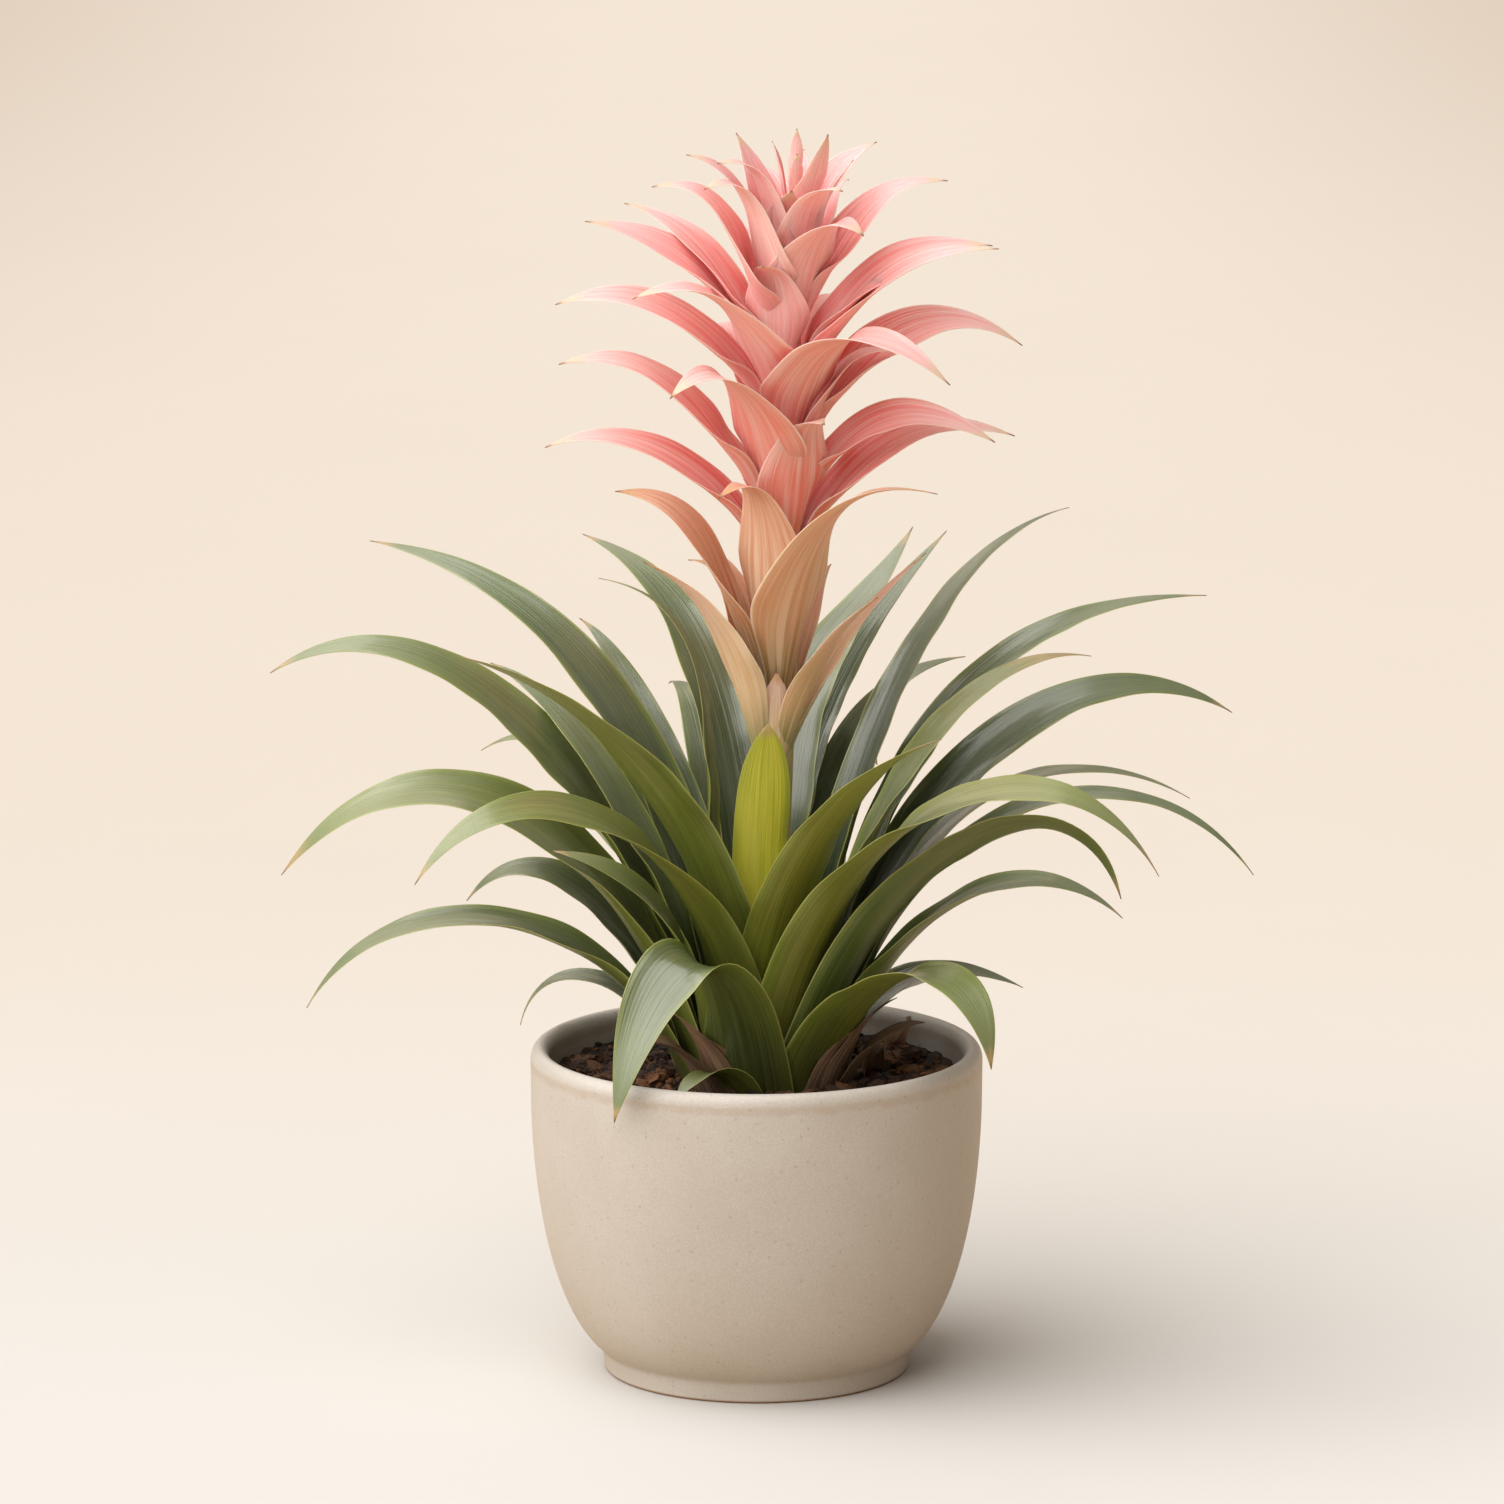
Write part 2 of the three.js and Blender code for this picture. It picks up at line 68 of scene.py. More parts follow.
def curve_points(start, pull_1, pull_2, end, steps):
    """Points of a smooth curve from start to end, drawn by two pulls between them."""
    t = np.linspace(0.0, 1.0, steps + 1)[:, None]
    start, pull_1, pull_2, end = (np.asarray(p, float) for p in (start, pull_1, pull_2, end))
    near = (1 - t) ** 3 * start + 3 * (1 - t) ** 2 * t * pull_1
    return near + 3 * (1 - t) * t ** 2 * pull_2 + t ** 3 * end


def arc_points(centre, radii, from_degrees, to_degrees, steps):
    """Points of an ellipse's arc, for a rounded lip or edge."""
    turn = np.radians(np.linspace(from_degrees, to_degrees, steps + 1))
    return np.stack([centre[0] + radii[0] * np.cos(turn), centre[1] + radii[1] * np.sin(turn)], 1)


def new_piece(name, points, faces):
    """A smooth-shaded mesh piece."""
    mesh = bpy.data.meshes.new(name)
    mesh.from_pydata([tuple(p) for p in points], [], [tuple(int(i) for i in f) for f in faces])
    mesh.polygons.foreach_set("use_smooth", [True] * len(mesh.polygons))
    piece = bpy.data.objects.new(name, mesh)
    bpy.context.scene.collection.objects.link(piece)
    return piece


def turned_piece(name, outline, sides):
    """A closed piece turned round +Z from [radius, height] points that start and end on the axis."""
    outline = np.asarray(outline, float)
    turn = np.linspace(0.0, 2 * np.pi, sides, endpoint=False)
    radius, height = outline[:, 0][:, None], outline[:, 1][:, None]
    rings = np.stack([radius * np.cos(turn), radius * np.sin(turn), height + 0 * turn], -1)
    faces = []
    for i in range(len(outline) - 1):
        for j in range(sides):
            k = (j + 1) % sides
            faces.append((i * sides + j, i * sides + k, (i + 1) * sides + k, (i + 1) * sides + j))
    piece = new_piece(name, rings.reshape(-1, 3), faces)
    shape = bmesh.new()
    shape.from_mesh(piece.data)
    bmesh.ops.remove_doubles(shape, verts=shape.verts, dist=1e-6)
    bmesh.ops.recalc_face_normals(shape, faces=shape.faces)
    shape.to_mesh(piece.data)
    shape.free()
    return piece


def colour(red, green, blue):
    """A colour given as it looks on a screen, 0 to 255, for a shader."""
    shares = (c / 255 for c in (red, green, blue))
    return tuple(c / 12.92 if c <= 0.04045 else ((c + 0.055) / 1.055) ** 2.4 for c in shares) + (1.0,)


def put(tree, kind, sockets=None, **settings):
    """A new node. sockets maps an input's name or number to a value or to another node's output."""
    node = tree.nodes.new(kind)
    for name, value in settings.items():
        setattr(node, name, value)
    for key, value in (sockets or {}).items():
        if isinstance(value, bpy.types.NodeSocket):
            tree.links.new(value, node.inputs[key])
        else:
            node.inputs[key].default_value = value
    return node


def mixed(tree, share, first, second, mode="MIX"):
    """One colour laid over another by a share."""
    sockets = {0: share, 6: first, 7: second}
    return put(tree, "ShaderNodeMix", sockets, data_type="RGBA", blend_type=mode).outputs[2]


def between(tree, share, first, second):
    """A value between two others by a share."""
    return put(tree, "ShaderNodeMix", {0: share, 2: first, 3: second}, data_type="FLOAT").outputs[0]


def fade(tree, value, low, high, from_share=0.0, to_share=1.0):
    """A soft step from one share to another while the value goes from low to high."""
    sockets = {"Value": value, "From Min": low, "From Max": high,
               "To Min": from_share, "To Max": to_share}
    return put(tree, "ShaderNodeMapRange", sockets, interpolation_type="SMOOTHSTEP").outputs[0]


def maths(tree, operation, first, second=0.0):
    return put(tree, "ShaderNodeMath", {0: first, 1: second}, operation=operation).outputs[0]


def new_group(name, inputs, outputs):
    """A shader node group with named inputs and outputs. Returns it with its two ends."""
    group = bpy.data.node_groups.new(name, "ShaderNodeTree")
    for label, default in inputs.items():
        socket = group.interface.new_socket(label, in_out="INPUT", socket_type="NodeSocketFloat")
        socket.default_value = default
    for label in outputs:
        group.interface.new_socket(label, in_out="OUTPUT", socket_type="NodeSocketFloat")
    return group, put(group, "NodeGroupInput").outputs, put(group, "NodeGroupOutput").inputs


def placed(tree, group, **inputs):
    """The outputs of a group placed in a material. Underscores in a name stand for spaces."""
    node = tree.nodes.new("ShaderNodeGroup")
    node.node_tree = group
    for name, value in inputs.items():
        socket = node.inputs[name.replace("_", " ")]
        if isinstance(value, bpy.types.NodeSocket):
            tree.links.new(value, socket)
        else:
            socket.default_value = value
    return node.outputs


def new_material(name):
    material = bpy.data.materials.new(name)
    material.use_nodes = True
    return material, material.node_tree, material.node_tree.nodes["Principled BSDF"]


def bumped(tree, shader, height, distance, strength=1.0):
    """Fine relief of a finish, with its depth in metres."""
    sockets = {"Height": height, "Distance": distance, "Strength": strength}
    tree.links.new(put(tree, "ShaderNodeBump", sockets).outputs[0], shader.inputs["Normal"])


def make_mottle():
    """Soft blotches and fine grains of a natural finish, in the piece's own coordinates."""
    inputs = {"Blotch Scale": 20.0, "Grain Scale": 900.0}
    group, given, out = new_group("mottle", inputs, ("Blotches", "Grains"))
    place = put(group, "ShaderNodeTexCoord").outputs["Object"]
    for label, scale, detail in (("Blotches", "Blotch Scale", 4.0), ("Grains", "Grain Scale", 2.0)):
        sockets = {"Vector": place, "Scale": given[scale], "Detail": detail, "Roughness": 0.6}
        field = put(group, "ShaderNodeTexNoise", sockets).outputs["Fac"]
        group.links.new(fade(group, field, 0.3, 0.7), out[label])
    return group


mottle = make_mottle()


def make_stoneware():
    material, tree, shader = new_material("speckled stoneware glaze")
    marks = placed(tree, mottle, Blotch_Scale=14.0, Grain_Scale=1300.0)
    place = put(tree, "ShaderNodeTexCoord").outputs["Object"]
    height = put(tree, "ShaderNodeSeparateXYZ", {0: place}).outputs["Z"]
    glaze = mixed(tree, marks["Blotches"], colour(191, 186, 179), colour(199, 195, 190))
    glaze = mixed(tree, between(tree, marks["Grains"], 0.0, 0.24), glaze, colour(161, 147, 131))
    # Sparse dark iron specks
    specks = put(tree, "ShaderNodeTexVoronoi", {"Vector": place, "Scale": 420.0, "Randomness": 1.0})
    rare = maths(tree, "GREATER_THAN", put(
        tree, "ShaderNodeSeparateColor", {0: specks.outputs["Color"]}).outputs[0], 0.86)
    dots = maths(tree, "MULTIPLY", fade(tree, specks.outputs["Distance"], 0.34, 0.12), rare)
    glaze = mixed(tree, maths(tree, "MULTIPLY", dots, 0.22), glaze, colour(120, 98, 72))
    # The glaze runs thin over the lip's outer edge, so the tan clay shows in a broken line
    uneven = put(tree, "ShaderNodeTexNoise", {"Vector": place, "Scale": 160.0, "Detail": 5.0})
    wander = maths(tree, "MULTIPLY_ADD", uneven.outputs["Fac"], 2 * thin_glaze_wander)
    wander.node.inputs[2].default_value = -thin_glaze_wander
    level = maths(tree, "ADD", height, wander)
    ends_above, full_from, full_to, ends_below = (pot_height - depth for depth in thin_glaze_depths)
    above = fade(tree, level, ends_below, full_to)
    below = fade(tree, level, ends_above, full_from)
    line = maths(tree, "MULTIPLY", maths(tree, "MULTIPLY", above, below), uneven.outputs["Fac"])
    glaze = mixed(tree, maths(tree, "MULTIPLY", line, 0.42), glaze, colour(162, 130, 94))
    # Bare clay at the foot
    bare = fade(tree, height, bare_clay_heights[1], bare_clay_heights[0])
    glaze = mixed(tree, bare, glaze, colour(142, 108, 72))
    tree.links.new(glaze, shader.inputs["Base Color"])
    rough = between(tree, marks["Blotches"], 0.36, 0.46)
    tree.links.new(between(tree, bare, rough, 0.8), shader.inputs["Roughness"])
    bumped(tree, shader, marks["Grains"], 0.00005, 0.6)
    return material


def bore_outline(inset):
    """The inside of the pot from its floor up to the straight part of the wall."""
    return curve_points(
        (pot_floor_radius - inset, pot_floor + inset),
        (lower_pull[0] - pot_wall - inset, lower_pull[1] + inset),
        (upper_pull[0] - pot_wall - inset, upper_pull[1]),
        (pot_radius - pot_wall - inset, straight_from),
        24,
    )


foot_top = foot_radius + foot_edge
pot_outline = np.concatenate([
    [(0.0, 0.0), (foot_radius - foot_edge, 0.0)],
    arc_points((foot_radius - foot_edge, foot_edge), (foot_edge, foot_edge), -70, 0, 5),
    [(foot_top - 0.0004, foot_height - 0.0022), (foot_top - 0.0001, foot_height - 0.0010)],
    curve_points((foot_top + 0.0003, foot_height + 0.0003), lower_pull, upper_pull,
                 (pot_radius - 0.0002, straight_from), 40),
    arc_points((pot_radius - pot_wall / 2, pot_height - lip_depth), (pot_wall / 2, lip_depth),
               0, 180, 20),
    bore_outline(0.0)[::-1],
    [(0.0, pot_floor)],
])
pot = turned_piece("pot_body", pot_outline, 160)
pot.data.materials.append(make_stoneware())
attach(pot, "root")
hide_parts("pot")


# Potting mix
# Dark peat and composted bark, filled in loose to a finger's width below the lip and pressed round
# the plant. Its top is crumbly, with bark chips, crumbs and a few fibres lying on it.
mix_level = 0.112
mix_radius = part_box("potting_mix")[1].x
mix_relief = 0.0022
chip_count = 420
crumb_count = 2200
fibre_count = 90
clear_of_plant = 0.026


def mix_height(x, y):
    """The level of the crumbly top at a point, lower where it meets the wall."""
    broad = noise.noise(Vector((x, y, 0.3)) * 55.0)
    lumps = noise.noise(Vector((x, y, 1.7)) * 210.0)
    crumbs = noise.noise(Vector((x, y, 4.1)) * 620.0)
    return mix_level + mix_relief * (0.7 * broad + 0.7 * lumps + 0.45 * crumbs)


def make_bark(name, dark, light, fleck):
    material, tree, shader = new_material(name)
    marks = placed(tree, mottle, Blotch_Scale=160.0, Grain_Scale=1500.0)
    shade = put(tree, "ShaderNodeAttribute", attribute_name="shade").outputs["Fac"]
    share = maths(tree, "MULTIPLY", shade, between(tree, marks["Blotches"], 0.45, 1.0))
    bark = mixed(tree, share, dark, light)
    bark = mixed(tree, maths(tree, "MULTIPLY", marks["Grains"], 0.35), bark, fleck)
    tree.links.new(bark, shader.inputs["Base Color"])
    tree.links.new(between(tree, marks["Grains"], 0.78, 0.95), shader.inputs["Roughness"])
    bumped(tree, shader, marks["Grains"], 0.0004, 0.8)
    return material


def painted(piece, name, values):
    """A value kept on each corner point of a piece, for its material."""
    piece.data.attributes.new(name, "FLOAT", "POINT").data.foreach_set(
        "value", np.asarray(values, np.float32))


mix_rings = np.concatenate([np.linspace(0.0, mix_radius - 0.0006, 90), [mix_radius]])
mix_sides = 200
mix_points = []
for ring_radius in mix_rings:
    for side in range(mix_sides):
        angle = 2 * math.pi * side / mix_sides
        x, y = ring_radius * math.cos(angle), ring_radius * math.sin(angle)
        mix_points.append((x, y, mix_height(x, y)))
mix_faces = [
    (i * mix_sides + j, (i + 1) * mix_sides + j,
     (i + 1) * mix_sides + (j + 1) % mix_sides, i * mix_sides + (j + 1) % mix_sides)
    for i in range(len(mix_rings) - 1) for j in range(mix_sides)
]
mix_clearance = pot_radius - pot_wall - mix_radius
wall_rings = bore_outline(mix_clearance)[::-1]
for ring_radius, ring_height in wall_rings:
    first = len(mix_points)
    for side in range(mix_sides):
        angle = 2 * math.pi * side / mix_sides
        mix_points.append((ring_radius * math.cos(angle), ring_radius * math.sin(angle), ring_height))
        after = (side + 1) % mix_sides
        above = first - mix_sides
        mix_faces.append((above + side, first + side, first + after, above + after))
mix_faces.append(tuple(range(len(mix_points) - mix_sides, len(mix_points)))[::-1])
potting_mix = new_piece("potting_mix_block", mix_points, mix_faces)
mix_shape = bmesh.new()
mix_shape.from_mesh(potting_mix.data)
bmesh.ops.remove_doubles(mix_shape, verts=mix_shape.verts[:mix_sides], dist=1e-6)
bmesh.ops.recalc_face_normals(mix_shape, faces=mix_shape.faces)
mix_shape.to_mesh(potting_mix.data)
mix_shape.free()
painted(potting_mix, "shade", [
    0.5 + 0.5 * noise.noise(v.co * 300.0) for v in potting_mix.data.vertices])
peat = make_bark("peat", colour(22, 14, 9), colour(70, 46, 28), colour(10, 7, 4))
potting_mix.data.materials.append(peat)
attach(potting_mix, "root")
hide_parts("potting_mix")


def ball(subdivisions):
    """Points and faces of a small ball, the blank for chips and crumbs."""
    shape = bmesh.new()
    bmesh.ops.create_icosphere(shape, subdivisions=subdivisions, radius=1.0)
    points = np.array([v.co for v in shape.verts])
    faces = np.array([[v.index for v in f.verts] for f in shape.faces])
    shape.free()
    return points, faces


def scattered(name, count, blank, sizes, flatness, seed):
    """Rough bits that lie about on the mix, each turned, squashed and broken in its own way."""
    rng = np.random.default_rng(seed)
    blank_points, blank_faces = blank
    points, faces, shades = [], [], []
    for _ in range(count):
        reach = math.sqrt(rng.uniform(clear_of_plant ** 2, (mix_radius - sizes[1]) ** 2))
        heading = rng.uniform(0.0, 2 * math.pi)
        x, y = reach * math.cos(heading), reach * math.sin(heading)
        size = rng.uniform(*sizes) * rng.uniform(0.5, 1.0)
        squash = size * np.array([1.0, rng.uniform(0.4, 0.8), rng.uniform(*flatness)])
        bit = blank_points * squash * (1 + rng.uniform(-0.28, 0.28, (len(blank_points), 1)))
        tilt = rng.normal(0.0, 0.35, 2)
        spin = rng.uniform(0.0, 2 * math.pi)
        turn = np.array([[math.cos(spin), -math.sin(spin), 0],
                         [math.sin(spin), math.cos(spin), 0], [0, 0, 1]])
        lean_x = np.array([[1, 0, 0], [0, math.cos(tilt[0]), -math.sin(tilt[0])],
                           [0, math.sin(tilt[0]), math.cos(tilt[0])]])
        lean_y = np.array([[math.cos(tilt[1]), 0, math.sin(tilt[1])], [0, 1, 0],
                           [-math.sin(tilt[1]), 0, math.cos(tilt[1])]])
        bit = bit @ (turn @ lean_x @ lean_y).T
        bit += (x, y, mix_height(x, y) + 0.35 * squash[2])
        faces.append(blank_faces + sum(len(p) for p in points))
        points.append(bit)
        shades.append(np.full(len(bit), rng.uniform() ** 1.6))
    piece = new_piece(name, np.concatenate(points), np.concatenate(faces))
    painted(piece, "shade", np.concatenate(shades))
    piece.data.polygons.foreach_set("use_smooth", [False] * len(piece.data.polygons))
    return piece


chip_bark = make_bark("bark chips", colour(40, 25, 15), colour(150, 98, 58), colour(22, 14, 9))
bark_chips = scattered("bark_chips", chip_count, ball(2), (0.0022, 0.0062), (0.22, 0.5), 11)
crumbs = scattered("peat_crumbs", crumb_count, ball(1), (0.0007, 0.0019), (0.5, 0.9), 12)
for bits in (bark_chips, crumbs):
    bits.data.materials.append(chip_bark)
    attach(bits, "root")


def fibres():
    """Loose coir and root threads, bent a little as they lie."""
    rng = np.random.default_rng(13)
    points, faces = [], []
    for _ in range(fibre_count):
        reach = rng.uniform(0.036, mix_radius - 0.008)
        heading = rng.uniform(0.0, 2 * math.pi)
        way = rng.uniform(0.0, 2 * math.pi)
        bend = rng.uniform(-60.0, 60.0)
        place = np.array([reach * math.cos(heading), reach * math.sin(heading)])
        steps = 9
        step = rng.uniform(0.008, 0.020) / steps
        lift = rng.uniform(0.0005, 0.0022)
        for k in range(steps + 1):
            rise = mix_height(*place) + lift * math.sin(math.pi * k / steps) + 0.0004
            across = np.array([-math.sin(way), math.cos(way), 0.0])
            thick = 0.00016 * (1 - 0.5 * k / steps)
            for corner in range(3):
                turn = 2 * math.pi * corner / 3
                offset = across * math.cos(turn) + np.array([0, 0, 1]) * math.sin(turn)
                points.append(np.array([*place, rise]) + thick * offset)
            if k:
                last = len(points) - 3
                for corner in range(3):
                    after = (corner + 1) % 3
                    faces.append((last - 3 + corner, last - 3 + after, last + after, last + corner))
            place = place + step * np.array([math.cos(way), math.sin(way)])
            if np.linalg.norm(place) > mix_radius - 0.002:
                place *= (mix_radius - 0.002) / np.linalg.norm(place)
            way += bend * step
    return new_piece("coir_fibres", points, faces)


coir = fibres()
painted(coir, "shade", np.full(len(coir.data.vertices), 0.7))
coir.data.materials.append(chip_bark)
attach(coir, "root")


# Flower stem with its tan bracts
# The stem grows out of a short thick rootstock in the mix and leans a little as it rises. The
# bracts on it clasp it at their foot and run from green through tan to peach, with dried tips.
plant_x = 0.002
lean_start = 0.115
lean_slope = 0.036
stem_radius = 0.0075
stem_tip_radius = 0.003
taper_start = 0.290
taper_end = 0.440
head_start = 0.290
root_floor = 0.0903
root_radius = 0.026
shoulder_radius = 0.0345
shoulder_height = 0.102
sheath_radii = (0.009, 0.033)
inner_foot_height = 0.122
foot_drop = 0.0005
bract_thickness = 0.0008
bract_sink = 0.0015
bract_taper = 1.8
bract_gutter = 40.0
stem_sheath = 0.050
# Bend of every blade: it swings a little past its tip's heading, and its roll sets in after the
# first stretch
swing_past = 0.8
roll_from = 0.15
roll_over = 0.5
widest_wrap = 0.95
tip_half_width = 0.00015

# Columns: heading of the foot and of the tip in degrees, height of the foot in millimetres and its
# slope in degrees, the tip's reach from the axis and its height, its slope, how far the bract
# climbs and how far it falls as parts of the straight way from foot to tip, its width, its roll.
stem_bract_rows = [
    (195, 188, 262, 66, 63, 336, 0, 0.52, 0.36, 33, -32),
    (250, 233, 264, 78, 40, 337, -32, 0.62, 0.4, 44, 0),
    (290, 334, 256, 74, 63, 338, -15, 0.64, 0.4, 46, -8),
    (155, 155, 240, 64, 38, 306, -5, 0.5, 0.35, 20, -10),
    (215, 204, 232, 72, 56, 312, 25, 0.45, 0.35, 36, 10),
    (315, 325, 234, 72, 44, 299, 35, 0.4, 0.3, 26, 0),
    (20, 20, 236, 66, 58, 308, 35, 0.4, 0.3, 14, 10),
    (282, 275, 246, 80, 9, 273, 82, 0.4, 0.3, 8, 0),
    (268, 270, 226, 80, 13, 269, 80, 0.42, 0.3, 28, 0),
    (92, 92, 264, 64, 60, 322, -10, 0.5, 0.38, 26, 0),
    (130, 130, 254, 64, 50, 308, 5, 0.5, 0.36, 24, 0),
    (65, 65, 246, 64, 46, 300, 15, 0.5, 0.35, 22, 0),
]


def direction(heading, slope):
    """Unit vectors with a heading in the ground plane, 0 along +X, and a slope above it."""
    heading, slope = np.radians(heading), np.radians(slope)
    flat = np.cos(slope)
    return np.stack([flat * np.cos(heading), flat * np.sin(heading), np.sin(slope) + 0 * heading], -1)


def axis_at(height):
    return np.array([plant_x + lean_slope * max(height - lean_start, 0.0), 0.0, height])


def stem_radius_at(height):
    left = min(max((taper_end - height) / (taper_end - taper_start), 0.0), 1.0)
    return stem_tip_radius + (stem_radius - stem_tip_radius) * left


def smooth(x):
    x = np.clip(x, 0.0, 1.0)
    return x * x * (3 - 2 * x)


def lerp(first, second, share):
    return first + (second - first) * share


def unit(v):
    return v / np.linalg.norm(v, axis=-1, keepdims=True)


def clasped(free, blade, along):
    """Half the width of a free blade, held in where its sheath wraps round the stem."""
    return np.minimum(free, lerp(widest_wrap * blade["foot_radius"], free, smooth(along / blade["sheath"])))


def bract_half_width(blade, t, along):
    return clasped(blade["width"] / 2 * (1 - t ** bract_taper), blade, along)


def grown_blade(blade, foot, tip, seed):
    """One leaf or bract: a thin closed strip along an arching midrib, wrapped round the stem at its
    foot and an open gutter further out, with faint lengthwise ridges and gently waved edges."""
    rng = np.random.default_rng(seed)
    span = np.linalg.norm(tip - foot)
    tip_heading = blade["tip_at"] + swing_past * (blade["tip_at"] - blade["at"])
    climb = foot + blade["climb"] * span * direction(blade["at"], blade["foot_slope"])
    fall = tip - blade["fall"] * span * direction(tip_heading, blade["dip"])
    fine = curve_points(foot, climb, fall, tip, 800)
    run = np.concatenate([[0.0], np.cumsum(np.linalg.norm(np.diff(fine, axis=0), axis=1))])
    length = run[-1]
    steps = int(round(length / blade["step"]))
    strips = blade["strips"]
    t = np.linspace(0.0, 1.0, steps + 1)
    along = t * length
    midrib = np.stack([np.interp(along, run, fine[:, k]) for k in range(3)], 1)
    forward = unit(np.gradient(midrib, axis=0))
    across = direction(lerp(blade["at"], tip_heading, t) + 90, np.zeros_like(t))
    across = unit(across - forward * np.sum(across * forward, 1)[:, None])
    inward = np.cross(forward, across)
    sway = np.radians(blade["sway"]) * np.sin(2 * np.pi * t * rng.uniform(0.8, 1.6) + rng.uniform(0, 6))
    roll = np.radians(blade["roll"]) * smooth((t - roll_from) / roll_over)
    roll = roll + sway * smooth((t - 0.25) / 0.4)
    side = across * np.cos(roll)[:, None] + inward * np.sin(roll)[:, None]
    up = np.cross(forward, side)
    half = np.maximum(blade["half_width"](blade, t, along), tip_half_width)
    gutter = np.radians(lerp(*blade["gutter"], smooth(t))) / (blade["width"] / 2)
    open_close = 1 + 0.12 * np.sin(2 * np.pi * t * rng.uniform(0.7, 1.5) + rng.uniform(0, 6))
    curl = lerp(1 / blade["foot_radius"], gutter * open_close, smooth(along / blade["sheath"]))
    u = np.sin(np.linspace(-np.pi / 2, np.pi / 2, strips + 1))
    angle = (curl * half)[:, None] * u
    bow = (1 / curl)[:, None]
    middle = (midrib[:, None] + side[:, None] * (np.sin(angle) * bow)[..., None]
              + up[:, None] * ((1 - np.cos(angle)) * bow)[..., None])
    normal = up[:, None] * np.cos(angle)[..., None] - side[:, None] * np.sin(angle)[..., None]
    # The relief fades where the blade is still wrapped and where it gets narrow
    broad = np.minimum(1.0, 2.5 * half / blade["width"])
    free = (smooth((t - 0.12) / 0.2) * broad * (1 - t ** 3))[:, None]
    ridges = blade["ridge"] * np.cos(2 * np.pi * (blade["ridges"] * u + rng.uniform(0, 1)
                                                 + 0.4 * np.sin(3 * t + rng.uniform(0, 6))[:, None]))
    edge_waves = np.zeros((steps + 1, strips + 1))
    for sign in (-1, 1):
        for share in (1.0, 0.5):
            beat = along / rng.uniform(0.035, 0.075) / share + rng.uniform(0, 1)
            edge_waves += share * np.clip(sign * u, 0, 1) ** 2.5 * np.sin(2 * np.pi * beat)[:, None]
    lift = free * (ridges * (1 - u ** 2) + blade["wave"] * edge_waves)
    middle = middle + normal * lift[..., None]
    thick = blade["thickness"] / 2 * (1 - 0.75 * np.abs(u) ** 5) * (1 - 0.6 * t ** 4)[:, None]
    points = np.concatenate([
        (middle + normal * thick[..., None]).reshape(-1, 3),
        (middle - normal * thick[..., None]).reshape(-1, 3),
    ])
    row, face = strips + 1, (steps + 1) * (strips + 1)
    i, j = (g.ravel() for g in np.meshgrid(np.arange(steps), np.arange(strips), indexing="ij"))
    a = i * row + j
    upper = np.stack([a, a + row, a + row + 1, a + 1], 1)
    under = np.stack([a, a + 1, a + row + 1, a + row], 1) + face
    e = np.arange(steps) * row
    rim_1 = np.stack([e, e + face, e + face + row, e + row], 1)
    e = e + strips
    rim_2 = np.stack([e + row, e + row + face, e + face, e], 1)
    c = np.arange(strips)
    foot_cap = np.stack([c, c + 1, c + 1 + face, c + face], 1)
    c = c + steps * row
    tip_cap = np.stack([c + face, c + 1 + face, c + 1, c], 1)
    grid = np.ones((steps + 1, strips + 1))
    marks = {
        "across": np.tile((grid * u).ravel(), 2),
        "along": np.tile((grid * t[:, None]).ravel(), 2),
        "foot": np.tile((grid * along[:, None]).ravel(), 2),
        "inner": np.repeat([1.0, 0.0], face),
        "seed": np.full(2 * face, rng.uniform(0, 10)),
        "tone": np.full(2 * face, blade["tone"]),
        "dry": np.full(2 * face, blade["dry"]),
    }
    return points, np.concatenate([upper, under, rim_1, rim_2, foot_cap, tip_cap]), marks


def blade_piece(name, blades, material, slot_name, *nodes):
    """One piece of one or more blades, which rides with the pot."""
    starts = np.cumsum([0] + [len(points) for points, _, _ in blades])
    points = np.concatenate([points for points, _, _ in blades])
    faces = np.concatenate([faces + start for (_, faces, _), start in zip(blades, starts)])
    piece = new_piece(name, points, faces)
    for mark in blades[0][2]:
        painted(piece, mark, np.concatenate([marks[mark] for _, _, marks in blades]))
    piece.data.materials.append(material)
    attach(piece, "root")
    if nodes:
        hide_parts(*nodes)
    return piece


def bract(row, sheath, tone, seed):
    at, tip_at, foot_height, foot_slope, reach, height, dip, climb, fall, width, roll = row
    foot_height, reach, height, width = (v / 1000 for v in (foot_height, reach, height, width))
    blade = {
        "at": at, "tip_at": tip_at, "dip": dip, "climb": climb, "fall": fall, "roll": roll,
        "width": width, "foot_slope": foot_slope, "tone": tone, "dry": 0.13, "sheath": sheath,
        "foot_radius": stem_radius_at(foot_height) - bract_sink, "half_width": bract_half_width,
        "gutter": (bract_gutter, bract_gutter), "thickness": bract_thickness, "step": 0.0022, "strips": 14,
        "ridge": 0.00022, "ridges": 2.5, "wave": 0.0006, "sway": 4.0,
    }
    foot = axis_at(foot_height) + direction(at, 0.0) * blade["foot_radius"]
    tip = axis_at(height) + direction(tip_at, 0.0) * reach
    return grown_blade(blade, foot, tip, seed)


def leaned(piece):
    """Shifts each level of an upright piece onto the leaning axis."""
    for v in piece.data.vertices:
        v.co.x += axis_at(v.co.z)[0]
    return piece


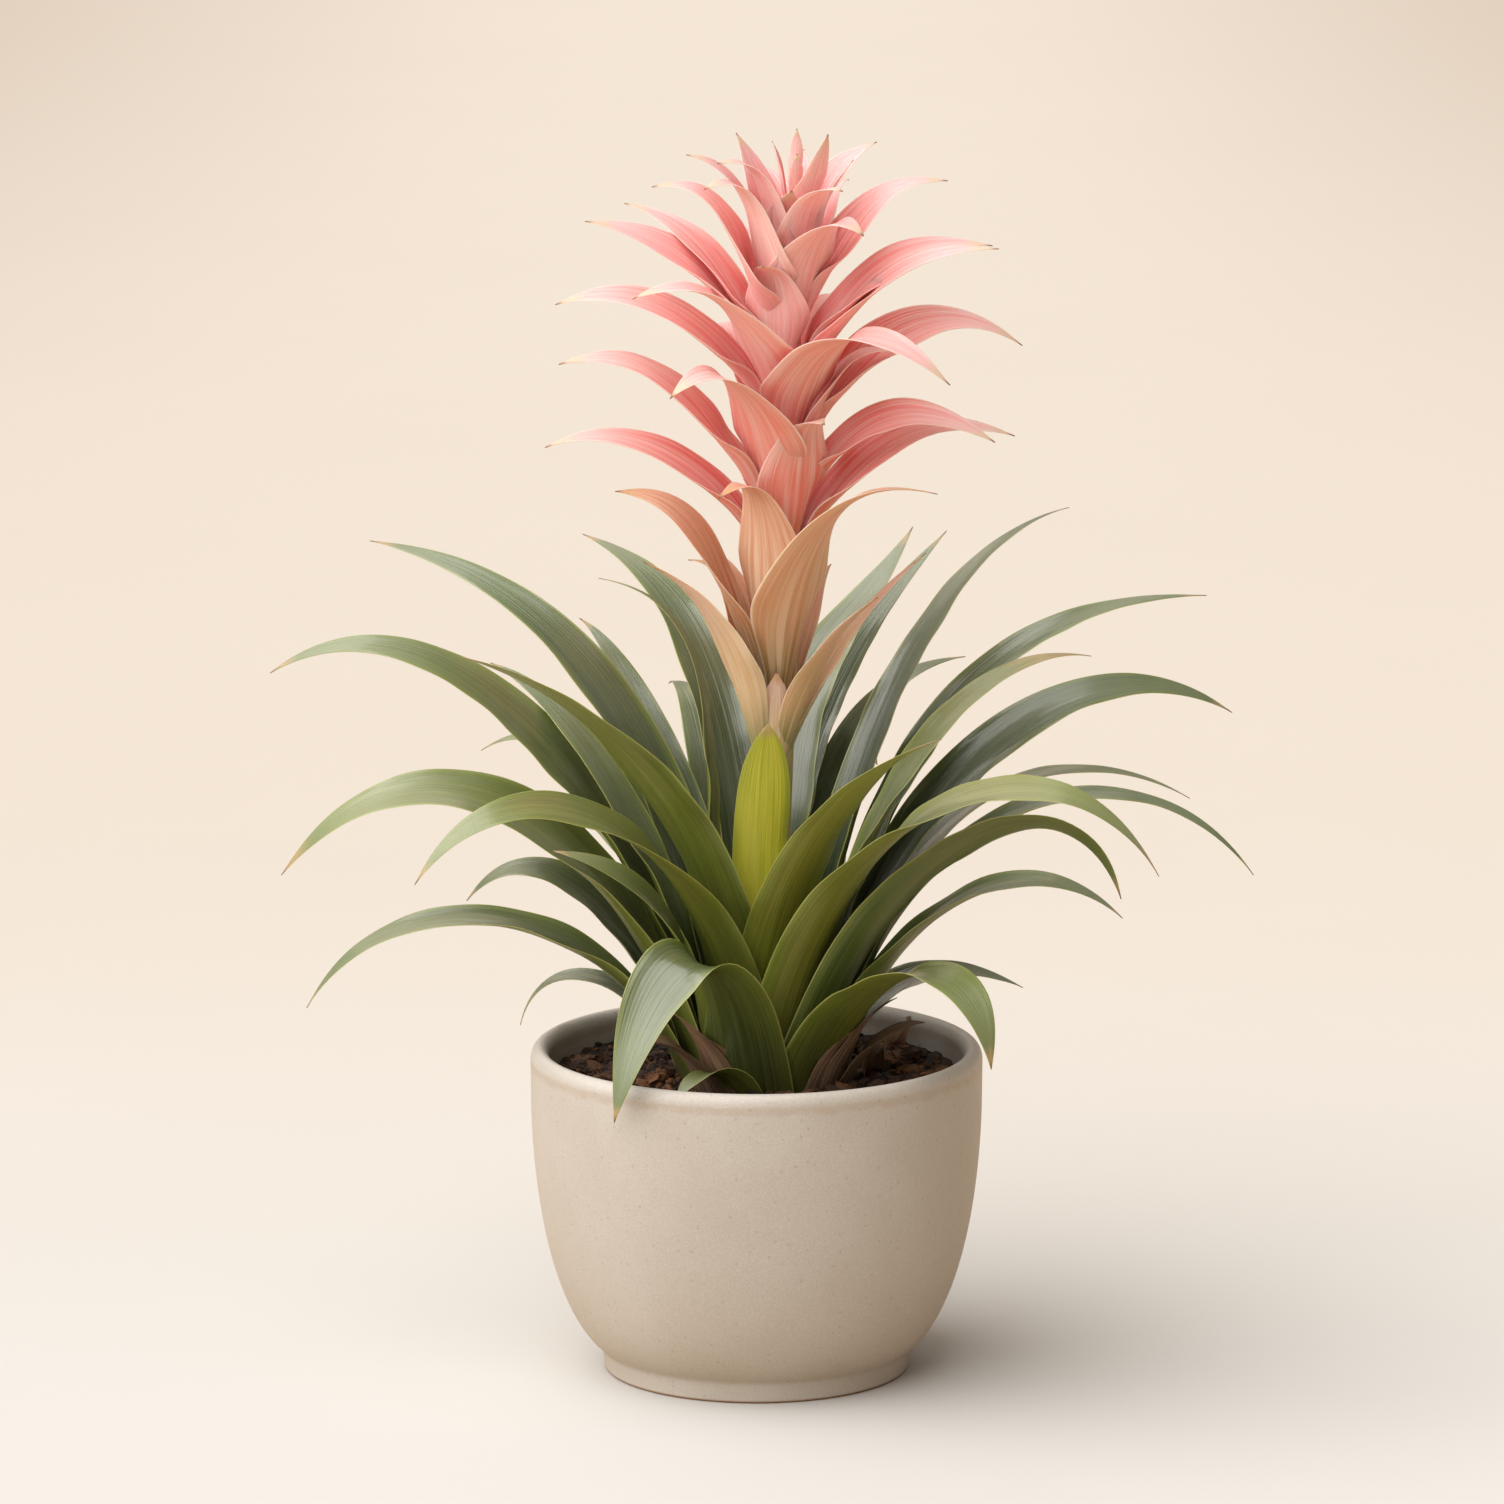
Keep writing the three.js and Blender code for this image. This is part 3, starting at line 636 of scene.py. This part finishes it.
def make_blade_marks():
    """Lengthwise veins, margin and tip of a blade, read from the marks grown into its mesh."""
    inputs = {"Broad Count": 2.0, "Fine Count": 14.0, "Run": 1.2, "Margin": 0.93}
    outputs = ("Broad", "Fine", "Lines", "Margin", "Tip")
    group, given, out = new_group("blade marks", inputs, outputs)
    across, along, seed, dry = (
        put(group, "ShaderNodeAttribute", attribute_name=name).outputs["Fac"]
        for name in ("across", "along", "seed", "dry"))
    counts = (("Broad", "Broad Count", 1.0, 0.30, 0.70), ("Fine", "Fine Count", 1.0, 0.32, 0.68),
              ("Lines", "Fine Count", 3.1, 0.35, 0.65))
    for label, count, times, low, high in counts:
        x = maths(group, "MULTIPLY", maths(group, "MULTIPLY", across, given[count]), times)
        y = maths(group, "MULTIPLY", along, given["Run"])
        place = put(group, "ShaderNodeCombineXYZ", {0: x, 1: y, 2: seed}).outputs[0]
        sockets = {"Vector": place, "Scale": 1.0, "Detail": 3.0, "Roughness": 0.55}
        field = put(group, "ShaderNodeTexNoise", sockets).outputs["Fac"]
        group.links.new(fade(group, field, low, high), out[label])
    outward = maths(group, "ABSOLUTE", across)
    group.links.new(fade(group, outward, given["Margin"], 1.0), out["Margin"])
    ragged = put(group, "ShaderNodeTexNoise", {
        "Vector": put(group, "ShaderNodeCombineXYZ", {0: across, 1: along, 2: seed}).outputs[0],
        "Scale": 4.0, "Detail": 3.0}).outputs["Fac"]
    uneven = maths(group, "MULTIPLY", maths(group, "SUBTRACT", ragged, 0.5), dry)
    reached = maths(group, "ADD", along, uneven)
    green_until = maths(group, "SUBTRACT", 1.0, dry)
    dry_from = maths(group, "SUBTRACT", 1.0, maths(group, "MULTIPLY", dry, 0.35))
    group.links.new(fade(group, reached, green_until, dry_from), out["Tip"])
    return group


blade_marks = make_blade_marks()


def marked(tree, name):
    return put(tree, "ShaderNodeAttribute", attribute_name=name).outputs["Fac"]


def make_bract(name, shades):
    """A thin coloured bract. Its shades run from the foot to the tip on each face; tone 0 to 1
    turns the first set of shades into the second."""
    material, tree, shader = new_material(name)
    marks = placed(tree, blade_marks, Broad_Count=2.2, Fine_Count=9.0, Run=1.6, Margin=0.93)
    along, inner, tone = (marked(tree, label) for label in ("along", "inner", "tone"))

    # The first colour of each run, at the foot, is dark partly from the bract's own colour and partly as
    # painted shade where the bracts crowd round the stem
    def run_of_shades(stops):
        foot, middle, far = stops
        lower = mixed(tree, fade(tree, along, 0.02, 0.36), foot, middle)
        return mixed(tree, fade(tree, along, 0.42, 0.9), lower, far)

    outer_run = mixed(tree, tone, run_of_shades(shades["outer"]), run_of_shades(shades["outer_low"]))
    inner_run = mixed(tree, tone, run_of_shades(shades["inner"]), run_of_shades(shades["inner_low"]))
    petal = mixed(tree, inner, outer_run, inner_run)
    petal = mixed(tree, between(tree, marks["Broad"], 0.0, 0.16), petal, shades["deep"])
    petal = mixed(tree, between(tree, marks["Fine"], 0.0, 0.50), petal, shades["vein"])
    petal = mixed(tree, between(tree, marks["Lines"], 0.0, 0.16), petal, shades["deep"])
    petal = mixed(tree, maths(tree, "MULTIPLY", marks["Margin"], 0.55), petal, shades["edge"])
    petal = mixed(tree, maths(tree, "MULTIPLY", marks["Tip"], 0.8), petal, shades["tip"])
    burnt = fade(tree, along, 0.965, 0.995)
    petal = mixed(tree, maths(tree, "MULTIPLY", burnt, 0.85), petal, shades["burnt"])
    tree.links.new(petal, shader.inputs["Base Color"])
    tree.links.new(between(tree, marks["Fine"], 0.40, 0.55), shader.inputs["Roughness"])
    shader.inputs["Subsurface Weight"].default_value = 0.40
    shader.inputs["Subsurface Radius"].default_value = (1.0, 0.45, 0.35)
    shader.inputs["Subsurface Scale"].default_value = 0.0024
    bumped(tree, shader, marks["Fine"], 0.00022, 0.7)
    return material


# The foot colours, first in each run, are a darker green partly as painted shade where the bracts crowd
# round the stem
tan_bract = make_bract("tan bract", {
    "outer": (colour(88, 98, 42), colour(206, 162, 126), colour(222, 152, 124)),
    "inner": (colour(92, 92, 40), colour(186, 134, 92), colour(218, 150, 122)),
    "outer_low": (colour(124, 134, 40), colour(228, 198, 152), colour(248, 208, 196)),
    "inner_low": (colour(108, 118, 40), colour(208, 176, 128), colour(240, 190, 170)),
    "deep": colour(206, 128, 98), "vein": colour(252, 230, 210), "edge": colour(250, 228, 206),
    "tip": colour(216, 170, 124), "burnt": colour(120, 78, 44),
})

root_outline = [(0.0, root_floor), (root_radius, root_floor), (shoulder_radius, shoulder_height),
                (sheath_radii[1], 0.1035), (0.026, 0.110), (0.019, 0.1155), (sheath_radii[0], 0.1215),
                (stem_radius, inner_foot_height)]
root_outline += [(stem_radius, z) for z in np.linspace(0.13, head_start, 14)] + [(0.0, head_start)]
flower_stem = leaned(turned_piece("flower_stem_core", root_outline, 40))
for mark in ("across", "along", "inner", "seed", "dry"):
    painted(flower_stem, mark, np.zeros(len(flower_stem.data.vertices)))
painted(flower_stem, "tone", np.ones(len(flower_stem.data.vertices)))
flower_stem.data.materials.append(tan_bract)
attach(flower_stem, "root")
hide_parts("flower_stem")

# The top three, the four below them, the two small inner ones and the three at the back
stem_groups = (stem_bract_rows[:3], stem_bract_rows[3:7], stem_bract_rows[7:9], stem_bract_rows[9:])
tan_above = 268
green_below = 232
for number, rows in enumerate(stem_groups):
    bracts = []
    for k, row in enumerate(rows):
        greenness = min(1.0, max(0.0, (tan_above - row[2]) / (tan_above - green_below)))
        bracts.append(bract(row, stem_sheath, greenness, 100 + 10 * number + k))
    blade_piece(f"stem_bracts_{number + 1}", bracts, tan_bract, "stem", "flower_stem")


# Flower head
# A spike of coral bracts that clasp the tapering top of the stem in a spiral, short and upright at
# the top and long and arching below. They are thin and satin, with pale veins, edges and tips.
head_core_top = 0.450
head_gap = 0.0003
head_sheath = 0.036

# Columns as for the stem's bracts, from the top down. The last ten stand at the back.
head_bract_rows = [
    (270, 270, 440, 82, 1, 470, 85, 0.4, 0.3, 15, 0),
    (170, 170, 438, 70, 9, 465, 65, 0.4, 0.3, 12, 0),
    (275, 272, 434, 78, 11, 462, 75, 0.45, 0.3, 17, 0),
    (320, 320, 420, 74, 15, 469, 72, 0.4, 0.35, 30, 0),
    (160, 153, 410, 70, 25, 467, 55, 0.5, 0.4, 28, -10),
    (28, 28, 422, 66, 34, 463, 15, 0.5, 0.35, 22, 15),
    (190, 190, 402, 66, 41, 461, 8, 0.48, 0.35, 30, -15),
    (215, 212, 402, 74, 34, 459, -10, 0.55, 0.4, 32, -10),
    (294, 303, 400, 76, 32, 450, -10, 0.6, 0.35, 32, 5),
    (236, 266, 400, 82, 16, 449, 40, 0.5, 0.3, 38, 0),
    (345, 345, 410, 70, 22, 459, 50, 0.5, 0.35, 24, 10),
    (206, 187, 384, 64, 53, 449, -15, 0.52, 0.38, 34, -20),
    (226, 222, 390, 66, 45, 451, -20, 0.58, 0.4, 34, -15),
    (12, 12, 392, 64, 58, 449, -8, 0.5, 0.38, 28, 25),
    (246, 250, 394, 84, 15, 429, 60, 0.45, 0.38, 26, 0),
    (300, 310, 388, 78, 40, 434, -35, 0.65, 0.38, 42, 5),
    (175, 165, 378, 60, 65, 440, 8, 0.44, 0.38, 28, -15),
    (183, 183, 376, 58, 77, 436, 5, 0.42, 0.38, 32, -25),
    (240, 246, 374, 66, 27, 422, 8, 0.58, 0.4, 42, 0),
    (8, 8, 374, 62, 75, 425, -10, 0.5, 0.38, 30, 25),
    (350, 350, 368, 62, 77, 427, -2, 0.46, 0.38, 30, 15),
    (232, 214, 360, 68, 70, 412, -22, 0.52, 0.4, 44, -10),
    (14, 14, 342, 66, 90, 386, -38, 0.55, 0.42, 34, 30),
    (178, 178, 358, 60, 87, 404, -22, 0.48, 0.36, 32, -25),
    (292, 319, 344, 78, 78, 382, -42, 0.76, 0.42, 40, 5),
    (350, 350, 338, 68, 42, 388, -10, 0.55, 0.4, 28, 10),
    (242, 226, 322, 78, 62, 376, -42, 0.62, 0.42, 42, -10),
    (184, 184, 326, 58, 85, 383, -18, 0.5, 0.36, 32, -25),
    (10, -5, 322, 66, 78, 354, -30, 0.6, 0.42, 32, 25),
    (294, 296, 312, 66, 32, 364, -10, 0.6, 0.4, 42, 5),
    (168, 180, 308, 60, 89, 351, -24, 0.42, 0.36, 28, -25),
    (12, 10, 308, 62, 87, 353, -22, 0.5, 0.38, 34, 20),
    (80, 80, 434, 70, 18, 460, 40, 0.45, 0.35, 20, 0),
    (112, 112, 418, 68, 36, 452, 0, 0.5, 0.35, 24, 0),
    (62, 62, 406, 66, 44, 446, -10, 0.52, 0.36, 26, 0),
    (118, 118, 392, 64, 54, 428, -12, 0.52, 0.36, 28, 0),
    (88, 88, 378, 62, 64, 416, -28, 0.54, 0.38, 30, 0),
    (66, 66, 362, 62, 58, 398, -30, 0.54, 0.38, 30, 0),
    (112, 112, 346, 60, 76, 384, -32, 0.54, 0.38, 30, 0),
    (82, 82, 332, 60, 68, 376, -32, 0.54, 0.38, 30, 0),
    (98, 98, 310, 60, 76, 346, -32, 0.54, 0.38, 30, 0),
    (70, 70, 296, 62, 58, 334, -20, 0.54, 0.38, 28, 0),
]

# The inner faces' foot colours, first in each of their runs, are deep red partly as painted shade where the
# bracts crowd round the stem
coral_bract = make_bract("coral bract", {
    "outer": (colour(252, 158, 148), colour(255, 210, 204), colour(255, 206, 204)),
    "inner": (colour(170, 42, 32), colour(248, 142, 144), colour(251, 190, 194)),
    "outer_low": (colour(206, 130, 96), colour(240, 132, 112), colour(250, 196, 188)),
    "inner_low": (colour(142, 32, 24), colour(232, 118, 116), colour(250, 190, 190)),
    "deep": colour(220, 84, 76), "vein": colour(255, 232, 226), "edge": colour(255, 236, 226),
    "tip": colour(232, 204, 176), "burnt": colour(120, 84, 44),
})

core_outline = [(0.0, head_start + head_gap)]
core_outline += [(stem_radius_at(z), z) for z in np.linspace(head_start + head_gap, taper_end, 20)]
core_outline += [(0.0, head_core_top)]
head_core = leaned(turned_piece("flower_head_core", core_outline, 32))
for mark in ("across", "along", "inner", "seed", "dry"):
    painted(head_core, mark, np.zeros(len(head_core.data.vertices)))
painted(head_core, "tone", np.full(len(head_core.data.vertices), 0.6))
head_core.data.materials.append(coral_bract)
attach(head_core, "root")
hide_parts("flower_head")

# Whorls by the height of the bracts' feet, each one piece, from the top down. Below a height the
# bracts turn from pink to a browner coral.
whorl_limits = (440, 415, 395, 380, 360, 335, 315, 0)
pink_above = 380
coral_below = 300
for whorl, (high, low) in enumerate(zip(whorl_limits, whorl_limits[1:])):
    bracts = []
    for k, row in enumerate(head_bract_rows):
        if low < row[2] <= high:
            depth = min(1.0, max(0.0, (pink_above - row[2]) / (pink_above - coral_below)))
            bracts.append(bract(row, head_sheath, depth, 200 + k))
    blade_piece(f"head_whorl_{whorl + 1}", bracts, coral_bract, "bract", "flower_head")


# Rosette leaves
# Strap leaves that clasp each other at the foot and arch outwards, the youngest innermost. They are
# leathery: dark grey-green and glossy above, olive beneath, with fine veins and pale thin edges.
leaf_thickness = 0.0007
leaf_foot_slopes = (85.0, 70.0)
leaf_sheath = 0.050
leaf_gutter = (58.0, 16.0)
leaf_neck = 0.86
neck_until = 0.35
flare_share = 0.25
flare_length = 0.030

# Columns: heading of the foot and of the tip in degrees, the tip's reach and height in millimetres,
# its slope in degrees, climb and fall as for the bracts, width, how long the leaf stays wide before
# it tapers, roll in degrees, and tone: 0 is a dark mature leaf and 1 a young yellow-green one.
leaf_rows = [
    (259, 276, 22, 251, 82, 0.4, 0.3, 22, 11, 0, 1.0),
    (107, 122, 130, 300, 8, 0.62, 0.3, 23, 4, -10, 0.05),
    (234, 206, 123, 282, 15, 0.35, 0.35, 32, 3.2, 20, 0.3),
    (80, 62, 124, 303, 45, 0.76, 0.34, 30, 3, 5, 0.1),
    (274, 312, 98, 255, 20, 0.28, 0.35, 30, 2.6, -10, 0.5),
    (86, 60, 143, 299, 36, 0.52, 0.31, 22, 2.6, 20, 0.1),
    (164, 160, 65, 298, 5, 0.53, 0.35, 12, 2.6, 0, 0.3),
    (22, 35, 143, 315, 2, 0.47, 0.33, 26, 3, -10, 0.0),
    (152, 151, 171, 302, 3, 0.5, 0.37, 31, 2.0, -25, 0.05),
    (248, 218, 160, 206, -58, 0.55, 0.42, 27, 2.6, -30, 0.35),
    (127, 134, 100, 274, 20, 0.33, 0.2, 24, 2.6, -35, 0.0),
    (-28, 11, 126, 268, -14, 0.55, 0.36, 27, 2.2, 6, 0.3),
    (195, 160, 109, 263, 5, 0.54, 0.25, 22, 2.6, -20, 0.1),
    (17, 21, 181, 284, -5, 0.55, 0.38, 21, 2.6, 20, 0.05),
    (82, 88, 110, 255, 0, 0.45, 0.35, 20, 2.6, 0, 0.1),
    (12, 18, 188, 240, -34, 0.5, 0.38, 26, 2.6, 40, 0.05),
    (174, 175, 185, 263, -35, 0.48, 0.35, 28, 2.6, -35, 0.25),
    (290, 330, 167, 206, -62, 0.66, 0.42, 33, 2.6, 15, 0.4),
    (22, 16, 169, 209, -32, 0.56, 0.38, 20, 2.6, 8, 0.25),
    (230, 203, 84, 205, 8, 0.5, 0.35, 22, 2.6, -30, 0.3),
    (128, 145, 131, 222, -35, 0.45, 0.35, 25, 2.6, -20, 0.3),
    (8, 3, 185, 187, -55, 0.66, 0.4, 17, 2.6, 20, 0.05),
    (186, 180, 180, 189, -54, 0.64, 0.48, 36, 2.6, -30, 0.3),
    (310, 340, 141, 190, -75, 0.66, 0.46, 30, 2.6, -30, 0.15),
    (70, 45, 110, 258, 0, 0.45, 0.35, 22, 2.6, 20, 0.0),
    (166, 170, 113, 175, -55, 0.62, 0.4, 24, 2.6, -30, 0.15),
    (343, 351, 136, 177, -45, 0.64, 0.35, 33, 2.6, 5, 0.15),
    (104, 104, 150, 235, -20, 0.45, 0.35, 25, 2.6, 0, 0.1),
    (194, 180, 171, 138, -62, 0.53, 0.45, 23, 2.6, -20, 0.2),
    (122, 122, 150, 175, -50, 0.45, 0.35, 24, 2.6, 0, 0.1),
    (311, 312, 125, 136, -85, 0.64, 0.54, 36, 2.6, 5, 0.3),
    (70, 74, 165, 200, -40, 0.45, 0.35, 24, 2.6, 0, 0.1),
    (152, 158, 99, 123, -78, 0.62, 0.5, 14, 2.6, -20, 0.1),
    (259, 236, 97, 113, -78, 1.45, 0.95, 34, 2.6, -20, 0.15),
    (35, 28, 113, 134, -30, 0.58, 0.35, 18, 2.6, 20, 0.0),
    (84, 84, 135, 135, -60, 0.45, 0.35, 20, 2.6, 0, 0.1),
    (258, 238, 60, 114, -60, 0.7, 0.5, 16, 2.6, 5, 0.3),
]

# Share of the length that has dried at the tip, for the leaves where it is more than a trace
dried_tips = {5: 0.10, 12: 0.20, 18: 0.07, 20: 0.06, 23: 0.08, 31: 0.07}
slightly_dried = 0.05


def leaf_half_width(blade, t, along):
    neck = lerp(leaf_neck, 1.0, smooth(t / neck_until))
    flare = flare_share * np.exp(-((along / flare_length) ** 2))
    return clasped(blade["width"] / 2 * ((1 - t ** blade["taper"]) * neck + flare), blade, along)


def make_leaf():
    material, tree, shader = new_material("rosette leaf")
    marks = placed(tree, blade_marks, Broad_Count=2.0, Fine_Count=11.0, Run=2.2, Margin=0.95)
    film = placed(tree, mottle, Blotch_Scale=26.0, Grain_Scale=1600.0)
    along, inner, tone, foot = (marked(tree, name) for name in ("along", "inner", "tone", "foot"))
    # Both faces get paler from the clasped foot to the tip; the dark lower part is partly the leaf's own
    # colour and partly painted shade where the leaves crowd together
    upper = mixed(tree, marks["Broad"], colour(34, 50, 30), colour(62, 78, 50))
    upper = mixed(tree, fade(tree, along, 0.05, 0.40, 0.8, 0.0), upper, colour(13, 22, 6))
    upper = mixed(tree, fade(tree, along, 0.40, 1.0), upper, colour(106, 122, 84))
    under = mixed(tree, marks["Broad"], colour(44, 64, 4), colour(76, 94, 14))
    under = mixed(tree, fade(tree, along, 0.06, 0.42, 0.85, 0.0), under, colour(22, 34, 1))
    under = mixed(tree, fade(tree, along, 0.45, 1.0), under, colour(110, 126, 64))
    leaf = mixed(tree, inner, under, upper)
    young = mixed(tree, marks["Broad"], colour(188, 190, 34), colour(216, 210, 64))
    leaf = mixed(tree, maths(tree, "POWER", tone, 1.7), leaf, young)
    # Painted light: a yellow-green band along each edge stands for light shining through the thinner edge
    outward = maths(tree, "ABSOLUTE", marked(tree, "across"))
    leaf = mixed(tree, fade(tree, outward, 0.60, 1.0, 0.0, 0.42), leaf, colour(122, 138, 36))
    veins = maths(tree, "MULTIPLY", marks["Fine"], between(tree, tone, 0.20, 0.03))
    leaf = mixed(tree, veins, leaf, colour(26, 36, 12))
    leaf = mixed(tree, between(tree, marks["Lines"], 0.0, 0.15), leaf, colour(150, 166, 106))
    dusty = maths(tree, "MULTIPLY", film["Blotches"], between(tree, inner, 0.02, 0.10))
    leaf = mixed(tree, dusty, leaf, colour(156, 168, 152))
    # Painted shade, partly the leaf's own darker olive: each leaf darkens over the first 35 mm from its
    # clasped foot
    leaf = mixed(tree, fade(tree, foot, 0.035, 0.0, 0.0, 0.55), leaf, colour(58, 54, 14))
    leaf = mixed(tree, maths(tree, "MULTIPLY", marks["Margin"], 0.6), leaf, colour(184, 180, 108))
    leaf = mixed(tree, maths(tree, "MULTIPLY", marks["Tip"], 0.85), leaf, colour(190, 160, 108))
    burnt = maths(tree, "MULTIPLY", fade(tree, along, 0.975, 0.998), between(tree, tone, 0.9, 0.1))
    leaf = mixed(tree, burnt, leaf, colour(120, 78, 48))
    tree.links.new(leaf, shader.inputs["Base Color"])
    tree.links.new(between(tree, inner, 0.42, 0.32), shader.inputs["Roughness"])
    shader.inputs["Specular IOR Level"].default_value = 0.7
    tree.links.new(between(tree, inner, 0.20, 0.85), shader.inputs["Coat Weight"])
    shader.inputs["Coat Roughness"].default_value = 0.20
    shader.inputs["Subsurface Weight"].default_value = 0.10
    shader.inputs["Subsurface Radius"].default_value = (0.5, 1.0, 0.2)
    shader.inputs["Subsurface Scale"].default_value = 0.0010
    bumped(tree, shader, marks["Fine"], 0.00016, 0.7)
    return material


def leaf(row, share, seed, dry):
    """A leaf that clasps the crown. share is 0 for the innermost and 1 for the outermost."""
    at, tip_at, reach, height, dip, climb, fall, width, taper, roll, tone = row
    sheath_radius = math.sqrt(lerp(sheath_radii[0] ** 2, sheath_radii[1] ** 2, share))
    blade = {
        "at": at, "tip_at": tip_at, "dip": dip, "climb": climb, "fall": fall, "roll": roll,
        "width": width / 1000, "taper": taper, "foot_slope": lerp(*leaf_foot_slopes, share),
        "foot_radius": sheath_radius, "half_width": leaf_half_width, "gutter": leaf_gutter,
        "sheath": leaf_sheath, "thickness": leaf_thickness, "tone": tone, "step": 0.0030, "strips": 16,
        "dry": dry, "ridge": 0.00030, "ridges": 2.2, "wave": 0.0007, "sway": 4.0,
    }
    foot = axis_at(0.0) + direction(at, 0.0) * sheath_radius
    foot[2] = inner_foot_height - foot_drop * share * (len(leaf_rows) - 1)
    tip = axis_at(0.0) + direction(tip_at, 0.0) * reach / 1000
    tip[2] = height / 1000
    return grown_blade(blade, foot, tip, seed)


leaf_green = make_leaf()
leaf_nodes = sorted(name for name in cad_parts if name.startswith("rosette_leaf"))
for order, (node, row) in enumerate(zip(leaf_nodes, leaf_rows)):
    dry = dried_tips.get(order + 1, slightly_dried)
    grown = leaf(row, order / (len(leaf_rows) - 1), 300 + order, dry)
    blade_piece(f"leaf_{order + 1:02d}", [grown], leaf_green, "leaf", node)


# Dried leaf bases
# Short brown papery remains of the oldest leaves, which still clasp the crown just above the mix.
# Columns as for the leaves.
dried_base_rows = [
    (246, 222, 50, 146, 25, 0.4, 0.3, 15, 3, -10, 0.9),
    (236, 216, 58, 136, 5, 0.42, 0.32, 16, 3, -20, 0.3),
    (256, 240, 44, 136, 30, 0.4, 0.3, 14, 3, -10, 0.5),
    (318, 332, 57, 148, 25, 0.42, 0.3, 15, 3, 10, 0.4),
    (330, 342, 64, 137, 0, 0.42, 0.32, 15, 3, 15, 0.2),
    (306, 320, 48, 138, 30, 0.4, 0.3, 13, 3, 5, 0.8),
    (352, 4, 56, 134, 10, 0.42, 0.32, 13, 3, 15, 0.5),
    (148, 158, 52, 136, 10, 0.42, 0.32, 15, 3, 0, 0.6),
    (60, 48, 54, 138, 15, 0.42, 0.32, 15, 3, 0, 0.4),
]


def make_dried_leaf():
    material, tree, shader = new_material("dried leaf")
    marks = placed(tree, blade_marks, Broad_Count=1.6, Fine_Count=8.0, Run=1.5, Margin=0.9)
    dark = mixed(tree, marks["Broad"], colour(58, 40, 24), colour(104, 76, 48))
    pale = mixed(tree, marks["Broad"], colour(128, 92, 66), colour(176, 138, 108))
    husk = mixed(tree, marked(tree, "tone"), dark, pale)
    husk = mixed(tree, between(tree, marks["Fine"], 0.0, 0.35), husk, colour(188, 160, 126))
    husk = mixed(tree, between(tree, marks["Lines"], 0.0, 0.30), husk, colour(40, 26, 16))
    husk = mixed(tree, fade(tree, marked(tree, "foot"), 0.025, 0.0, 0.0, 0.7), husk, colour(30, 20, 12))
    tree.links.new(husk, shader.inputs["Base Color"])
    tree.links.new(between(tree, marks["Fine"], 0.6, 0.8), shader.inputs["Roughness"])
    bumped(tree, shader, marks["Fine"], 0.0004, 0.8)
    return material


dried_bases = [leaf(row, 1.0, 400 + k, 0.1) for k, row in enumerate(dried_base_rows)]
blade_piece("dried_leaf_bases", dried_bases, make_dried_leaf(), "leaf")


# Surface that the pot stands on
# A wide seamless sheet of warm cream paper, matt, with painted shade that darkens it far behind the plant
# and to its sides, so that its far edge melts away.
ground_reach = 30.0


def make_ground():
    """Cream paper with painted shade: lightest in front of the pot and a little darker far behind it."""
    material, tree, shader = new_material("cream paper")
    marks = placed(tree, mottle, Blotch_Scale=3.0, Grain_Scale=400.0)
    place = put(tree, "ShaderNodeSeparateXYZ", {0: put(
        tree, "ShaderNodeTexCoord").outputs["Object"]}).outputs
    # Painted shade: the paper darkens away from the pot and to the sides, standing for light that falls off
    # with distance
    near = mixed(tree, fade(tree, place["Y"], -0.4, 1.2), colour(203, 203, 202), colour(200, 193, 184))
    aside = fade(tree, maths(tree, "ABSOLUTE", place["X"]), 0.1, 0.9)
    far = maths(tree, "MULTIPLY", aside, fade(tree, place["Y"], 0.8, 5.0, 0.0, 0.9))
    paper = mixed(tree, far, near, colour(180, 169, 158))
    paper = mixed(tree, between(tree, marks["Blotches"], 0.0, 0.05), paper, colour(183, 174, 163))
    # The light that it throws back at the plant is a little dimmer and warmer
    seen = put(tree, "ShaderNodeLightPath").outputs["Is Camera Ray"]
    paper = mixed(tree, seen, colour(188, 172, 150), paper)
    tree.links.new(paper, shader.inputs["Base Color"])
    tree.links.new(between(tree, marks["Grains"], 0.85, 0.95), shader.inputs["Roughness"])
    shader.inputs["Specular IOR Level"].default_value = 0.1
    return material


ground = new_piece("ground", [
    (-ground_reach, -ground_reach, 0.0), (ground_reach, -ground_reach, 0.0),
    (ground_reach, ground_reach, 0.0), (-ground_reach, ground_reach, 0.0)], [(0, 1, 2, 3)])
ground.data.materials.append(make_ground())


# Studio
# A broad soft light from the left, high up, a weaker one from behind, a low warm fill all round,
# and a long lens that looks down on the plant by eleven degrees.
world = bpy.data.worlds.new("studio")
bpy.context.scene.world = world
world.use_nodes = True
world_light = world.node_tree.nodes["Background"]
world_light.inputs["Color"].default_value = colour(255, 238, 222)
world_light.inputs["Strength"].default_value = 0.33


def broad_light(name, way, energy, spread, tint):
    """Light from a soft source far away, given by the way it shines and its spread in degrees."""
    lamp = bpy.data.lights.new(name, "SUN")
    lamp.energy = energy
    lamp.angle = math.radians(spread)
    lamp.color = tint[:3]
    light = bpy.data.objects.new(name, lamp)
    light.rotation_euler = Vector(way).to_track_quat("-Z", "Y").to_euler()
    bpy.context.scene.collection.objects.link(light)


broad_light("key light", (0.52, 0.30, -0.80), 4.60, 86, colour(255, 252, 248))
broad_light("rim light", (0.25, -0.68, -0.69), 0.45, 50, colour(255, 238, 220))

camera_distance = 3.16
camera_slope = math.radians(11.0)
camera_target = Vector((-0.0017, 0.0, 0.236))
camera_data = bpy.data.cameras.new("camera")
camera_data.sensor_width = 24.0
camera_data.lens = 135.0
camera_data.clip_end = 100.0
camera = bpy.data.objects.new("camera", camera_data)
camera.location = camera_target + camera_distance * Vector(
    (0.0, -math.cos(camera_slope), math.sin(camera_slope)))
camera.rotation_euler = (camera_target - camera.location).to_track_quat("-Z", "Y").to_euler()
bpy.context.scene.collection.objects.link(camera)
bpy.context.scene.camera = camera
bpy.context.scene.view_settings.view_transform = "Standard"
